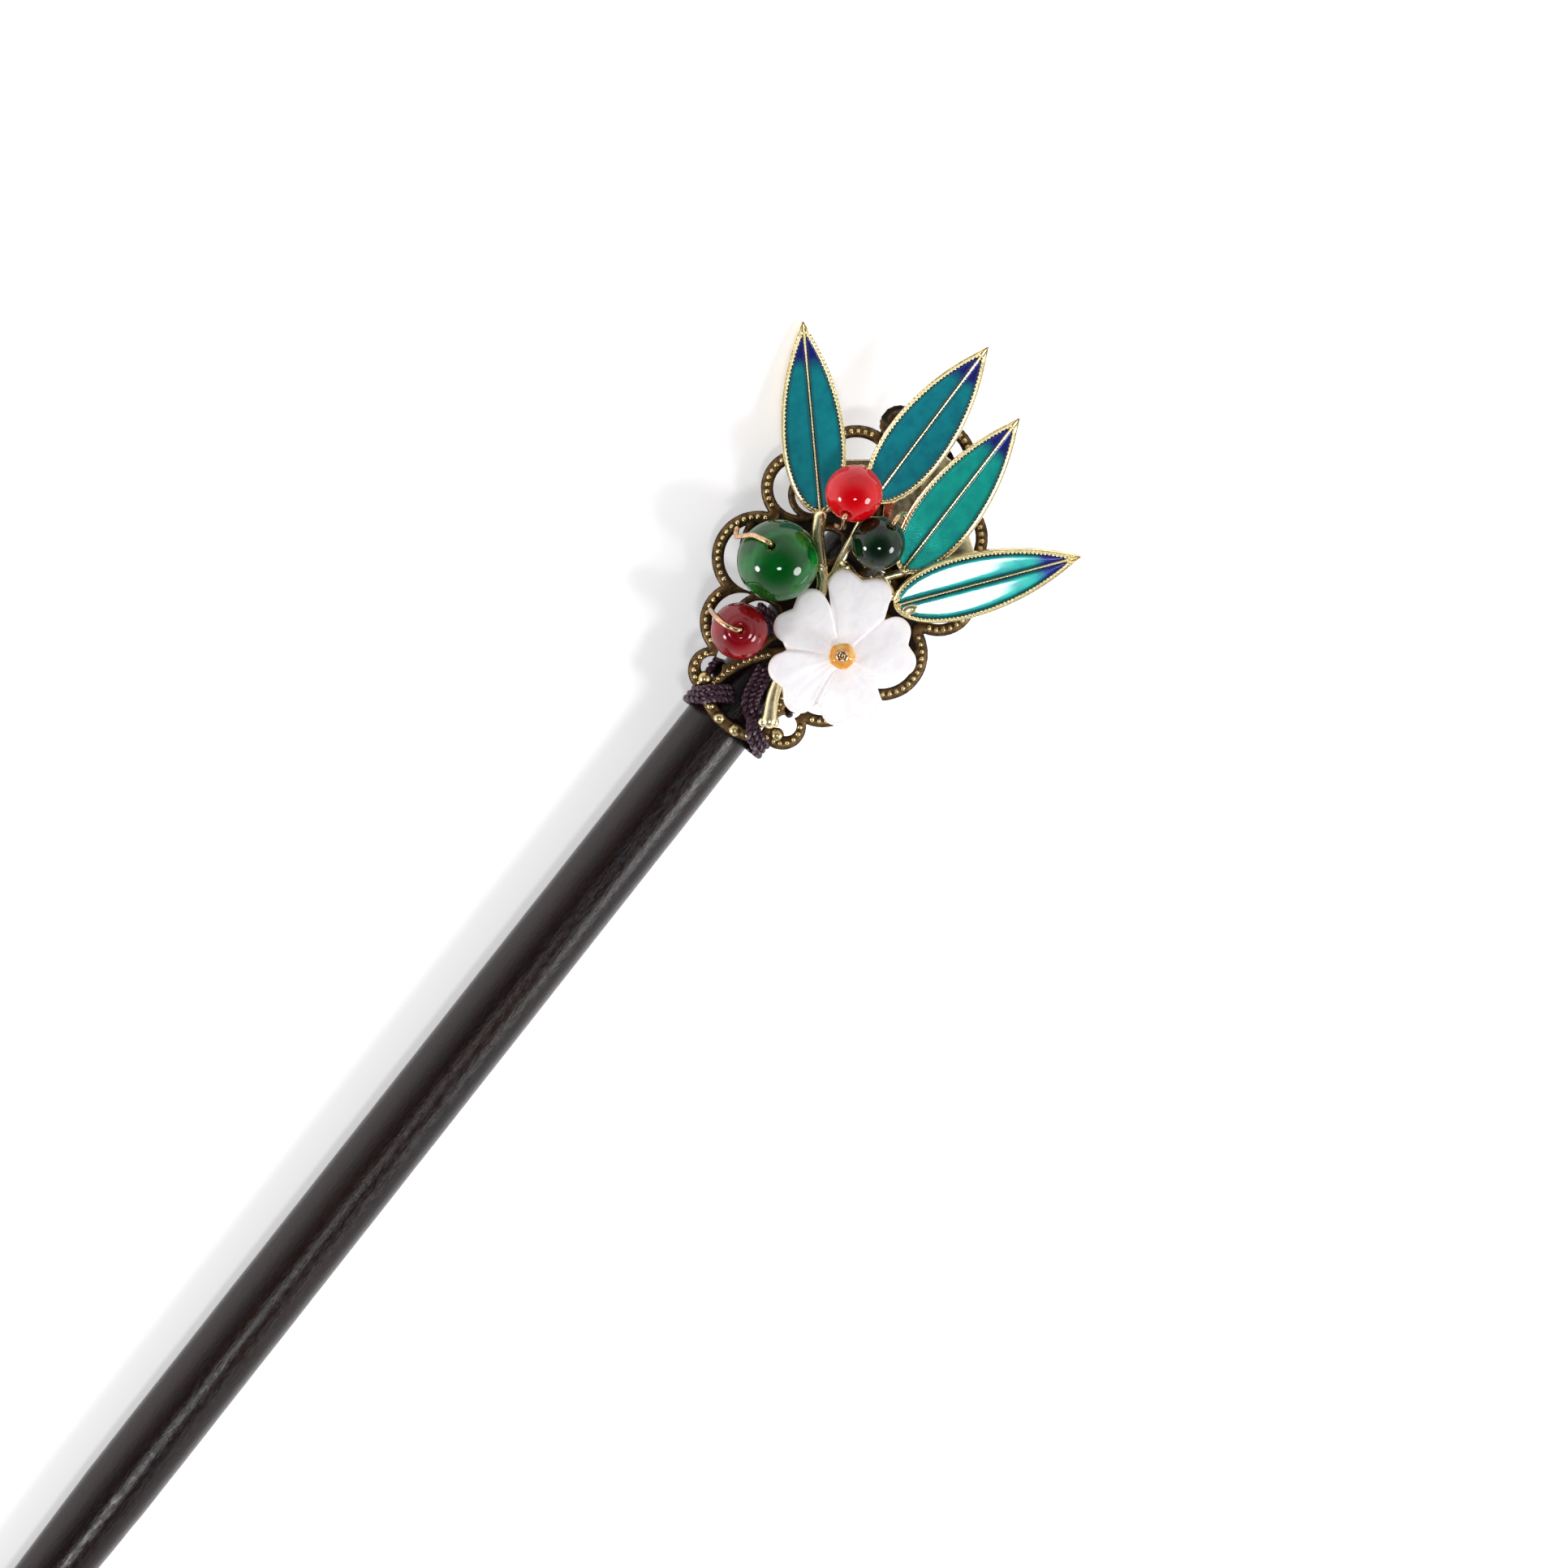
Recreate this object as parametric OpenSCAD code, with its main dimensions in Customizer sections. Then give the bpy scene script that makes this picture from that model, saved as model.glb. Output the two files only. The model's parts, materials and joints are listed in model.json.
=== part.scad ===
// Hair stick. A pierced brass plate is lashed with thread across the head end of a round
// wooden stick, and carries a gilt sprig of four enamelled leaves, a carved shell flower
// and four drilled beads on wires. It lies as it comes to rest by itself: the stick's
// shaft, its back lashing and the tip of the first leaf touch the ground.
//
// Sub-parts are drawn round the stick's axis by three distances: along is counted from the
// plate's lower edge towards the head, side is positive to the ornament's right, and up
// is away from the stick. The function at() turns the three into x, y and z.

/* [Stick] */
// Diameter of the shaft
stick_d = 7; // [6:0.1:8.5]
// Length from the head end to the tip
stick_l = 180; // [150:1:220]
// Length of the tapered end
taper_l = 60; // [30:1:90]
// Diameter where the rounded tip begins
tip_d = 3.4; // [2.4:0.1:4.5]
// Diameter at the head end, below the ornament
head_d = 6.6; // [6:0.1:7]
// Reach of the head end past the plate's lower edge
head_reach = 27.4; // [22:0.1:33]

/* [Pierced plate] */
// Length of the plate along the stick
plate_l = 37.6; // [34:0.1:42]
// Width of the plate
plate_w = 24.9; // [23:0.1:28]
// Thickness of the plate at its ribs
plate_t = 0.85; // [0.6:0.05:1.2]
// Depth of the hollows between the ribs
hollow_depth = 0.35; // [0.1:0.05:0.45]
// Width of the outer ribs
rib_w = 1.2; // [0.9:0.05:1.4]
// Width of the ribs round the inner windows
ring_w = 0.7; // [0.5:0.05:0.9]
// Distance of the plate's middle from the stick's axis, to the right
plate_shift = 0.6; // [0:0.1:1.2]
// Diameter of the beading along the ribs
grain_d = 0.8; // [0.5:0.05:0.9]
// Distance between the beading's grains
grain_pitch = 0.95; // [0.9:0.05:1.4]
// Diameter of the large balls at the plate's lower edge
ball_d = 1.4; // [1:0.05:1.6]

/* [Leaf sprig] */
// Length of each leaf
leaf_l = 18.9; // [16:0.1:22]
// Width of each leaf
leaf_w = 6.3; // [5:0.1:7]
// Thickness of each leaf frame
leaf_t = 1.1; // [0.8:0.05:1.5]
// Width of the rim round the enamel
rim_w = 0.5; // [0.4:0.05:0.8]
// Width of the vein between the two cells of a leaf
vein_w = 0.3; // [0.25:0.05:0.5]
// Depth of the enamel cells
cell_depth = 0.6; // [0.3:0.05:0.7]
// Depth of the enamel's surface below the rim
enamel_drop = 0.1; // [0.05:0.01:0.2]
// Thickness of the webs between the leaves
web_t = 0.7; // [0.4:0.05:0.8]
// Diameter of the main stem
stem_d = 1.24; // [1:0.02:1.5]
// Diameter of the branches
branch_d = 0.84; // [0.6:0.02:1]
// Diameter of the stem's lower end
stem_end_d = 1.7; // [1.3:0.1:1.9]

/* [Flower] */
// Diameter of the shell flower
flower_d = 14.4; // [12:0.1:15]
// Thickness of its petals
petal_t = 2.2; // [1.6:0.1:3]
// Diameter of the hole in its middle
flower_hole_d = 1; // [0.8:0.05:1.3]
// Diameter of the seed bead
seed_d = 2.6; // [2:0.1:3]
// Height of the seed bead
seed_h = 1.9; // [1.4:0.1:2.2]

/* [Beads] */
// Diameter of the green bead
green_d = 8; // [7:0.1:8.2]
// Diameter of the two red beads
red_d = 5.6; // [5:0.1:5.8]
// Diameter of the dark green bead
dark_d = 5.3; // [4.8:0.1:5.4]
// Diameter of the hole through each bead
bore_d = 1; // [0.8:0.05:1.3]
// Diameter of the bead wires
wire_d = 0.5; // [0.3:0.05:0.6]

/* [Lashings] */
// Diameter of a thread bundle over the plate
thread_d = 1.1; // [0.8:0.05:1.2]
// Thickness of a thread bundle where it is wound flat round the stick
winding_t = 0.6; // [0.4:0.05:0.8]

/* [Fit] */
// Gap between pieces that rest on each other
seat_gap = 0.05; // [0.03:0.01:0.1]
// Gap round the enamel in its cells
cell_gap = 0.03; // [0.02:0.01:0.05]

/* [Hidden] */
$fn = 64;

// Heights above the stick's axis
stick_r = stick_d / 2;
plate_up = stick_r + seat_gap;
plate_top = plate_up + plate_t;
grain_top = plate_top + grain_d / 2;
sprig_up = grain_top + seat_gap;
stem_up = plate_up + plate_t + winding_t + 2 * seat_gap + stem_d / 2;
KNOT = 1.16;
flower_up = stem_up + KNOT * stem_d / 2 + seat_gap;

// Points are [along, side, up] here, and x, y, z in the model
function at(p) = [-p[0], p[1], p[2]];
function flat(p) = [-p[0], p[1]];
// A point given by shares of the plate's length and half width
function on_plate(share_l, share_w) = [share_l * plate_l, plate_shift + share_w * plate_w / 2];
// The direction that leans from upright towards a heading, 0 towards the head and 90 to the right
function leaning(lean, heading) =
    [sin(lean) * cos(heading), sin(lean) * sin(heading), cos(lean)];
function unit(v) = v / norm(v);

// A smooth line through chosen points, with a few steps from each to the next
SPLINE_STEPS = 3;
function before(p, i) = i > 0 ? p[i - 1] : 2 * p[0] - p[1];
function after(p, i) = i < len(p) ? p[i] : 2 * p[len(p) - 1] - p[len(p) - 2];
function spline_at(a, b, c, d, f) =
    0.5 * (2 * b + (c - a) * f + (2 * a - 5 * b + 4 * c - d) * f * f
        + (3 * b - a - 3 * c + d) * f * f * f);
function spline(p) = [
    for (i = [0 : len(p) - 2], k = [0 : SPLINE_STEPS - 1])
        spline_at(before(p, i), p[i], p[i + 1], after(p, i + 2), k / SPLINE_STEPS),
    p[len(p) - 1]
];

// A round tube along a line, its rings carried without twist
TUBE_SIDES = 8;
function along_line(p, i) = unit(p[min(i + 1, len(p) - 1)] - p[max(i - 1, 0)]);
function square_to(v, t) = unit(v - (v * t) * t);
function ring_frames(p) = [
    for (i = 0, n = square_to([0.31, 0.52, 0.79], along_line(p, 0));
         i < len(p);
         i = i + 1, n = i < len(p) ? square_to(n, along_line(p, i)) : n)
        [n, cross(along_line(p, i), n)]
];
// A solid through rings of points, oval where its two half widths differ
module ring_solid(p, frames, a, b) {
    rings = len(p);
    polyhedron(
        points = [
            for (i = [0 : rings - 1], k = [0 : TUBE_SIDES - 1])
                p[i] + a * cos(360 * k / TUBE_SIDES) * frames[i][0]
                    + b * sin(360 * k / TUBE_SIDES) * frames[i][1]
        ],
        faces = concat(
            [[for (k = [0 : TUBE_SIDES - 1]) k]],
            [[for (k = [TUBE_SIDES - 1 : -1 : 0]) (rings - 1) * TUBE_SIDES + k]],
            [
                for (i = [0 : rings - 2], k = [0 : TUBE_SIDES - 1])
                    let (next = (k + 1) % TUBE_SIDES, here = i * TUBE_SIDES,
                         ahead = here + TUBE_SIDES)
                        [here + k, ahead + k, ahead + next, here + next]
            ]
        )
    );
}
module tube(p, d) {
    ring_solid(p, ring_frames(p), d / 2, d / 2);
}

// Plate: junctions between its lobes as shares of its length and half width, and the
// bulge of the arc to the next junction as a share of its half width
BOTTOM_BULGE = 0.124;
TOP_BULGE = 0.153;
JUNCTIONS = [
    // along, side, bulge
    [0.041, 0.337, 0.120],
    [0.145, 0.490, 0.112],
    [0.291, 0.707, 0.241],
    [0.519, 0.771, 0.229],
    [0.716, 0.771, 0.129],
    [0.862, 0.458, 0.169],
    [0.949, 0.289, 0]
];
LOBES = len(JUNCTIONS) - 1;
half_w = plate_w / 2;
function junction(i) = [JUNCTIONS[i][0] * plate_l, JUNCTIONS[i][1] * half_w];
// The circle of an arc that stands out by a bulge beyond the chord between two points
function arc_r(chord, bulge) = (chord * chord / 4 + bulge * bulge) / (2 * bulge);
function left_of(v) = [-v[1], v[0]];
function lobe_r(i) = arc_r(norm(junction(i + 1) - junction(i)), JUNCTIONS[i][2] * half_w);
function lobe_at(i) = (junction(i) + junction(i + 1)) / 2
    + left_of(unit(junction(i + 1) - junction(i))) * (JUNCTIONS[i][2] * half_w - lobe_r(i));
bottom_r = arc_r(2 * junction(0)[1], BOTTOM_BULGE * half_w);
bottom_at = [junction(0)[0] - BOTTOM_BULGE * half_w + bottom_r, 0];
top_r = arc_r(2 * junction(LOBES)[1], TOP_BULGE * half_w);
top_at = [junction(LOBES)[0] + TOP_BULGE * half_w - top_r, 0];
BOTTOM_REACH = 0.088;

// The pointed arch above the lower edge: two arcs that meet on the plate's middle
ARCH_FOOT = [0.040, 0.249];
ARCH_TOP = 0.234;
arch_rise = (ARCH_TOP - ARCH_FOOT[0]) * plate_l;
arch_half = ARCH_FOOT[1] * half_w;
arch_r = (arch_rise * arch_rise + arch_half * arch_half) / (2 * arch_half);
arch_at = [ARCH_FOOT[0] * plate_l, arch_half - arch_r];

// Round windows with a ring left round each: a share of the length, and two of the half width
RINGS = [
    // along, side, radius
    [0.282, 0.305, 0.153],
    [0.4255, 0.498, 0.185],
    [0.626, 0.578, 0.145],
    [0.737, 0.321, 0.090],
    [0.546, 0.245, 0.110],
    [0.682, 0.190, 0.095]
];
// Crescent windows in the lobes: a lobe, and the disc whose edge is the crescent's inner side
CRESCENTS = [
    // lobe, along, side, radius
    [1, 0.282, 0.305, 0.209],
    [2, 0.479, 0.402, 0.450],
    [3, 0.626, 0.578, 0.201],
    [4, 0.737, 0.321, 0.169]
];
// Plain round windows
HOLES = [
    // along, side, radius
    [0.110, 0.373, 0.084],
    [0.153, 0.341, 0.064],
    [0.909, 0.383, 0.061]
];
// Round windows on the plate's middle
MIDDLE_HOLES = [
    // along, radius
    [0.381, 0.075],
    [0.805, 0.105]
];

module both_sides() {
    children();
    mirror([0, 1]) children();
}
module disc(c, r) {
    translate(flat(c)) circle(r = r);
}
// A place on the plate's own length and half width, from column k of a table's row
function spot(row, k = 0) = [row[k] * plate_l, row[k + 1] * half_w];

// The plate's outline, or with an inset the inner edge of its outer ribs
module plate_outline(inset = 0) {
    middle = [plate_l / 2, 0];
    inner = [for (i = [0 : LOBES]) junction(i) + unit(middle - junction(i)) * inset * 1.25];
    polygon([
        for (p = inner) flat(p),
        for (i = [LOBES : -1 : 0]) flat([inner[i][0], -inner[i][1]])
    ]);
    both_sides() for (i = [0 : LOBES - 1]) disc(lobe_at(i), lobe_r(i) - inset);
    disc(top_at, top_r - inset);
    intersection() {
        disc(bottom_at, bottom_r - inset);
        translate([-BOTTOM_REACH * plate_l, -half_w]) square([plate_l, plate_w]);
    }
}

module arch(grow = 0) {
    intersection() {
        disc(bottom_at, bottom_r - rib_w + grow);
        disc(arch_at, arch_r + grow);
        disc([arch_at[0], -arch_at[1]], arch_r + grow);
    }
}

module windows() {
    both_sides() {
        for (row = CRESCENTS) difference() {
            disc(lobe_at(row[0]), lobe_r(row[0]) - rib_w);
            disc(spot(row, 1), row[3] * half_w);
        }
        for (row = concat(RINGS, HOLES)) disc(spot(row), row[2] * half_w);
    }
    for (row = MIDDLE_HOLES) disc([row[0] * plate_l, 0], row[1] * half_w);
    difference() {
        disc(top_at, top_r - rib_w);
        disc([top_at[0] - rib_w / 2, 0], top_r - 1.42 * rib_w);
    }
    arch();
}

// The hollows between the raised ribs
module hollows() {
    difference() {
        plate_outline(rib_w);
        both_sides() for (row = concat(RINGS, HOLES)) disc(spot(row), row[2] * half_w + ring_w);
        arch(rib_w);
    }
}

// Grains stand along the ribs' middles, on both sides at once
function bearing(c, p) = atan2(p[1] - c[1], p[0] - c[0]);
function turn(from, to) = let (d = to - from) d > 180 ? d - 360 : d < -180 ? d + 360 : d;
module grain(p, d = grain_d) {
    for (side = [-1, 1]) translate(at([p[0], plate_shift + side * p[1], plate_top])) sphere(d = d);
}
module grains_on_arc(c, r, from, to) {
    swing = turn(from, to);
    count = max(2, round(abs(swing) * PI / 180 * r / grain_pitch));
    for (k = [0 : count - 1])
        let (a = from + swing * (k + 0.5) / count) grain(c + r * [cos(a), sin(a)]);
}
// Where the arch's grains begin and end, as shares of its side
ARCH_GRAINS = [0.16, 0.95];
// Balls on the lower rim, and the ball that closes the first scroll
RIM_BALLS = [
    // side, size
    [0.077, 0.93],
    [0.188, 0.62]
];
SCROLL_BALL = [0.076, 0.361];

module grains() {
    for (i = [0 : LOBES - 1])
        grains_on_arc(lobe_at(i), lobe_r(i) - rib_w / 2,
            bearing(lobe_at(i), junction(i)), bearing(lobe_at(i), junction(i + 1)));
    grains_on_arc(top_at, top_r - rib_w / 2, bearing(top_at, junction(LOBES)), 0);
    arch_end = bearing(arch_at, [ARCH_TOP * plate_l, 0]);
    grains_on_arc(arch_at, arch_r + rib_w / 2,
        90 + (arch_end - 90) * ARCH_GRAINS[0], 90 + (arch_end - 90) * ARCH_GRAINS[1]);
    rim_r = bottom_r - rib_w / 2;
    for (row = RIM_BALLS)
        let (a = asin(row[0] * half_w / rim_r))
            grain([bottom_at[0] - rim_r * cos(a), rim_r * sin(a)], row[1] * ball_d);
    grain(spot(SCROLL_BALL), ball_d);
}

module filigree() {
    color("#5a4630") lying() {
        difference() {
            translate([0, plate_shift, plate_up]) linear_extrude(plate_t) plate_outline();
            translate([0, plate_shift, plate_top - hollow_depth])
                linear_extrude(plate_t) hollows();
            translate([0, plate_shift, 0]) linear_extrude(plate_top * 2) windows();
        }
        grains();
    }
}

// Leaves: where each begins on the plate, where it points, and how it lies
LEAVES = [
    // along, side, direction, lift, roll
    [0.597, -0.442, -43.3, 0, 0],
    [0.706, -0.180, -1.3, 0, 0],
    [0.610, 0.333, -0.5, 0.16, 3],
    [0.530, 0.446, 37.1, 0.6, 12]
];
// A leaf is widest at this share of its length, and begins with a small disc
WIDEST = 0.37;
BASE_DISC = 0.31;
LEAF_STEPS = 8;
leaf_half = leaf_w / 2;
widest_x = WIDEST * leaf_l;
base_disc_r = BASE_DISC * leaf_w;
function leaf_point(row, share) = on_plate(row[0], row[1])
    + share * leaf_l * [cos(row[2]), sin(row[2])];

// A half leaf's edge, an inset inside the rim's outer side and a distance off the vein's
// middle: round the base disc to where it meets the long arc, then to the tip
function arc_points(c, r, from, to, steps) =
    [for (k = [0 : steps]) let (a = from + (to - from) * k / steps) c + r * [cos(a), sin(a)]];
function curve_r(run) = (run * run + leaf_half * leaf_half) / leaf_w;
function curve_at(run) = [widest_x, leaf_half - curve_r(run)];
function meeting(c0, r0, c1, r1) = let (d = norm(c1 - c0))
    bearing(c0, c1) + acos((r0 * r0 + d * d - r1 * r1) / (2 * r0 * d));
function half_leaf(inset, off) =
    let (c0 = [base_disc_r, 0], r0 = base_disc_r - inset,
         c1 = curve_at(widest_x), r1 = curve_r(widest_x) - inset,
         c2 = curve_at(leaf_l - widest_x), r2 = curve_r(leaf_l - widest_x) - inset,
         a0 = meeting(c0, r0, c1, r1),
         disc_edge = arc_points(c0, r0, 180 - asin(off / r0), a0, 6),
         a1 = bearing(c1, disc_edge[6]),
         rise = arc_points(c1, r1, a1, 90, 5),
         fall = arc_points(c2, r2, 90, asin((off - c2[1]) / r2), LEAF_STEPS))
        concat(disc_edge, [for (k = [1 : 5]) rise[k]], [for (k = [1 : LEAF_STEPS]) fall[k]]);
module leaf_outline(grow = 0) {
    half = half_leaf(-grow, 0);
    polygon(concat(half, [for (i = [len(half) - 2 : -1 : 1]) [half[i][0], -half[i][1]]]));
}
module cell(side, inset = 0) {
    polygon([for (p = half_leaf(rim_w + inset, vein_w / 2 + inset)) [p[0], side * p[1]]]);
}

module on_leaf(row) {
    translate(at(concat(leaf_point(row, 0), sprig_up + row[3] * leaf_t)))
        rotate([0, 0, 180 - row[2]])
            rotate([row[4], 0, 0])
                children();
}
// The inside of a cell between two heights
module cell_room(i, side, low, high, inset = 0) {
    on_leaf(LEAVES[i]) translate([0, 0, low]) linear_extrude(high - low) cell(side, inset);
}
module enamel(i, side) {
    color("#0f7f84") lying()
        cell_room(i, side, leaf_t - cell_depth + cell_gap, leaf_t - enamel_drop, cell_gap);
}

// Webs between the leaves, as corners on the plate's length and half width
WEBS = [
    [[0.604, -0.418], [0.700, -0.733], [0.840, -0.200], [0.706, -0.180]],
    [[0.649, 0.150], [0.917, 0.200], [0.917, 0.000], [0.720, -0.100], [0.649, 0.040]],
    [[0.620, 0.400], [0.620, 0.560], [0.757, 0.740], [0.790, 0.590], [0.780, 0.400]]
];
// Stem and branches, from knot to knot
STEM = [
    [0.591, -0.426], [0.549, -0.350], [0.488, -0.173], [0.4375, -0.056], [0.165, 0.133]
];
BRANCH_2 = [[0.484, -0.056], [0.588, -0.118], [0.699, -0.179]];
BRANCH_3 = [[0.527, -0.040], [0.530, 0.150], [0.609, 0.353]];
BRANCH_4 = [[0.567, 0.240], [0.545, 0.400]];
STEM_END = [0.088, 0.250];
STEM_RISE = 0.15;
STEM_BALL = 0.62;

function knots(table) = [for (row = table) concat(on_plate(row[0], row[1]), stem_up)];
module rod(a, b, d1, d2) {
    v = at(b) - at(a);
    translate(at(a))
        rotate([0, acos(v[2] / norm(v)), atan2(v[1], v[0])])
            cylinder(h = norm(v), d1 = d1, d2 = d2);
}
module knot(q, d) {
    translate(at(q)) rotate([25, 35, 0]) sphere(d = d);
}
// Each length narrows a little from its knot to the next
module cane(p, d) {
    for (i = [0 : len(p) - 2]) rod(p[i], p[i + 1], 1.06 * d, 0.94 * d);
    for (q = p) knot(q, KNOT * d);
}
module stem() {
    main = knots(STEM);
    foot = knots([STEM_END])[0] + [0, 0, STEM_RISE];
    cane(main, stem_d);
    cane(knots(BRANCH_2), branch_d);
    cane(knots(BRANCH_3), branch_d);
    cane(knots(BRANCH_4), branch_d);
    rod(main[len(main) - 1], foot, stem_d, stem_end_d);
    side = left_of(unit([foot[0] - main[4][0], foot[1] - main[4][1]])) * stem_end_d * 0.32;
    for (k = [-1, 1]) knot(foot + k * [side[0], side[1], 0], STEM_BALL * stem_end_d);
}

module sprig() {
    color("#d9b85f") lying() {
        difference() {
            union() {
                for (row = LEAVES) on_leaf(row) linear_extrude(leaf_t) leaf_outline();
                for (web = WEBS) translate([0, 0, sprig_up]) linear_extrude(web_t)
                    polygon([for (p = web) flat(on_plate(p[0], p[1]))]);
                leaf_foot(LEAVES[3]);
            }
            for (i = [0 : 3], side = [-1, 1]) cell_room(i, side, leaf_t - cell_depth, leaf_t + 1);
        }
        stem();
    }
}
// The last leaf's first part is solid down to the level of the others
LEAF_FOOT = 0.34;
module leaf_foot(row) {
    intersection() {
        on_leaf(row) translate([0, 0, -leaf_t]) linear_extrude(leaf_t * 1.2) intersection() {
            leaf_outline(-rim_w / 2);
            translate([0, -leaf_w]) square([LEAF_FOOT * leaf_l, 2 * leaf_w]);
        }
        translate([-plate_l, -plate_w, sprig_up]) cube([plate_l, 2 * plate_w, 4 * leaf_t]);
    }
}

// Flower: five petals, each of two round lobes, carved from one flat piece of shell
FLOWER = [0.340, 0.385];
PETALS = [
    // heading, reach, half width, and the slit after it: heading, reach
    [-23, 1.15, 0.44, 11, 0.76],
    [42, 0.98, 0.41, 84, 0.50],
    [131, 0.91, 0.42, 170, 0.73],
    [204, 0.99, 0.44, 238.5, 0.76],
    [276, 1.005, 0.43, 309, 0.70]
];
PETAL_LOBE = 0.50;
LOBE_FROM = 108;
LOBE_TO = 20;
PETAL_NOTCH = 0.17;
FLOWER_FALL = 0.153;
flower_r = flower_d / 2;
flower_at = concat(on_plate(FLOWER[0], FLOWER[1]), flower_up);
function turned(a, p) = [p[0] * cos(a) - p[1] * sin(a), p[0] * sin(a) + p[1] * cos(a)];
function petal(row) =
    let (reach = row[1] * flower_r, half = row[2] * flower_r, r = PETAL_LOBE * half)
        concat(
            arc_points([reach - r, r - half], r, -LOBE_FROM, LOBE_TO, 8),
            [[reach - PETAL_NOTCH * half, 0]],
            arc_points([reach - r, half - r], r, -LOBE_TO, LOBE_FROM, 8)
        );
module petals() {
    polygon([
        for (row = PETALS) each concat(
            [for (p = petal(row)) flat(turned(row[0], p))],
            [flat(row[4] * flower_r * [cos(row[3]), sin(row[3])])]
        )
    ]);
}
module shell_flower() {
    fall = FLOWER_FALL * flower_r;
    dome_r = (flower_r * flower_r + fall * fall) / (2 * fall);
    color("#f3f0f4") lying() translate(at(flower_at)) difference() {
        intersection() {
            linear_extrude(petal_t) petals();
            translate([0, 0, petal_t + 0.02 - dome_r]) sphere(r = dome_r);
        }
        translate([0, 0, -1]) cylinder(h = petal_t + 2, d = flower_hole_d);
    }
}
seed_up = flower_up + petal_t + seat_gap;
module seed_bead() {
    color("#e2a24a") lying() translate(at([flower_at[0], flower_at[1], seed_up]))
        difference() {
            intersection() {
                translate([0, 0, seed_h / 2]) sphere(d = seed_d);
                translate([-seed_d, -seed_d, 0]) cube([2 * seed_d, 2 * seed_d, seed_h]);
            }
            translate([0, 0, -1]) cylinder(h = seed_h + 2, d = flower_hole_d * 0.9);
        }
}

// Beads: place on the plate, height above the sprig, and how the hole leans and where to
GREEN = [[0.432, -0.474], 4.0, 23, -62];
RED_LOW = [[0.227, -0.370], 3.1, 3, 0];
RED_HIGH = [[0.690, -0.329], 4.75, 55, 162.6];
DARK = [[0.629, 0.060], 3.5, 52, -1];
function bead_at(row) = concat(on_plate(row[0][0], row[0][1]), sprig_up + row[1]);
function bead_axis(row) = leaning(row[2], row[3]);
module bead(row, d) {
    lying() translate(at(bead_at(row))) difference() {
        sphere(d = d);
        rotate([0, row[2], 180 - row[3]]) cylinder(h = 2 * d, d = bore_d, center = true);
    }
}
module green_bead() { color("#0b7a2c") bead(GREEN, green_d); }
module red_bead_low() { color("#c8000f") bead(RED_LOW, red_d); }
module red_bead_high() { color("#c8000f") bead(RED_HIGH, red_d); }
module dark_bead() { color("#12351d") bead(DARK, dark_d); }

// Wires: points round a bead are steps from its middle, points below it are on the plate
module wire(p) {
    color("#d9b48c") lying() tube([for (q = spline(p)) at(q)], wire_d);
}
function from_bead(row, d, steps) = [for (v = steps) bead_at(row) + v * d / 2];
function through(row, d) = [for (k = [-1.03, -0.6, 0.6, 1.03]) bead_at(row) + bead_axis(row) * k * d / 2];
under_plate = plate_up - wire_d / 2 - 2 * seat_gap;
function below(share_l, share_w, up = under_plate) = concat(on_plate(share_l, share_w), up);
module green_wire() {
    wire(concat(
        [below(0.346, -0.418), below(0.385, -0.375), below(0.408, -0.372),
            below(0.412, -0.372, plate_top)],
        through(GREEN, green_d),
        from_bead(GREEN, green_d, [
            [0.19, -0.46, 1.04], [0.15, -0.66, 0.95], [0.09, -0.86, 0.71],
            [-0.09, -1.06, 0.34], [-0.16, -1.16, 0.11], [-0.01, -1.26, 0.02]
        ])
    ));
}
module red_wire_low() {
    wire(concat(
        [below(0.218, -0.430), below(0.250, -0.386), below(0.262, -0.370),
            below(0.257, -0.362, plate_up + 0.65)],
        through(RED_LOW, red_d),
        from_bead(RED_LOW, red_d, [
            [-0.05, -0.14, 1.17], [-0.14, -0.5, 1.18], [-0.13, -0.88, 0.88],
            [-0.05, -1.2, 0], [-0.03, -1.26, -0.78]
        ])
    ));
}
module red_wire_high() {
    wire(concat(
        from_bead(RED_HIGH, red_d, [[0.70, -0.50, -1.33], [0.86, -0.43, -1.08], [0.93, -0.32, -0.76]]),
        through(RED_HIGH, red_d),
        from_bead(RED_HIGH, red_d, [
            [-0.93, 0.28, 0.56], [-1.04, 0.36, 0.29], [-1.13, 0.43, -0.2],
            [-1.2, 0.4, -0.7], [-1.23, 0.18, -1.07]
        ])
    ));
}
module dark_wire() {
    wire(concat(
        from_bead(DARK, dark_d, [[-0.87, 0.17, -0.92], [-0.93, 0.07, -0.76]]),
        through(DARK, dark_d),
        from_bead(DARK, dark_d, [
            [0.96, -0.02, 0.72], [1.24, -0.02, 0.48], [1.42, 0.04, 0],
            [1.43, 0.1, -0.4], [1.41, 0.12, -0.63]
        ])
    ));
}
module flower_wire() {
    above = seed_up + seed_h;
    p = [flower_at[0], flower_at[1], 0];
    wire([
        p + [-0.6, 0.2, above + 0.3], p + [-0.25, 0.05, above + 0.5], p + [0, 0, above + 0.2],
        p + [0, 0, seed_up], p + [0, 0, flower_up], p + [-0.05, 0, flower_up - 0.7],
        below(0.320, 0.386, plate_top + 0.45), below(0.309, 0.394, plate_top - 0.2),
        below(0.309, 0.400), below(0.343, 0.450)
    ]);
}

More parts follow.
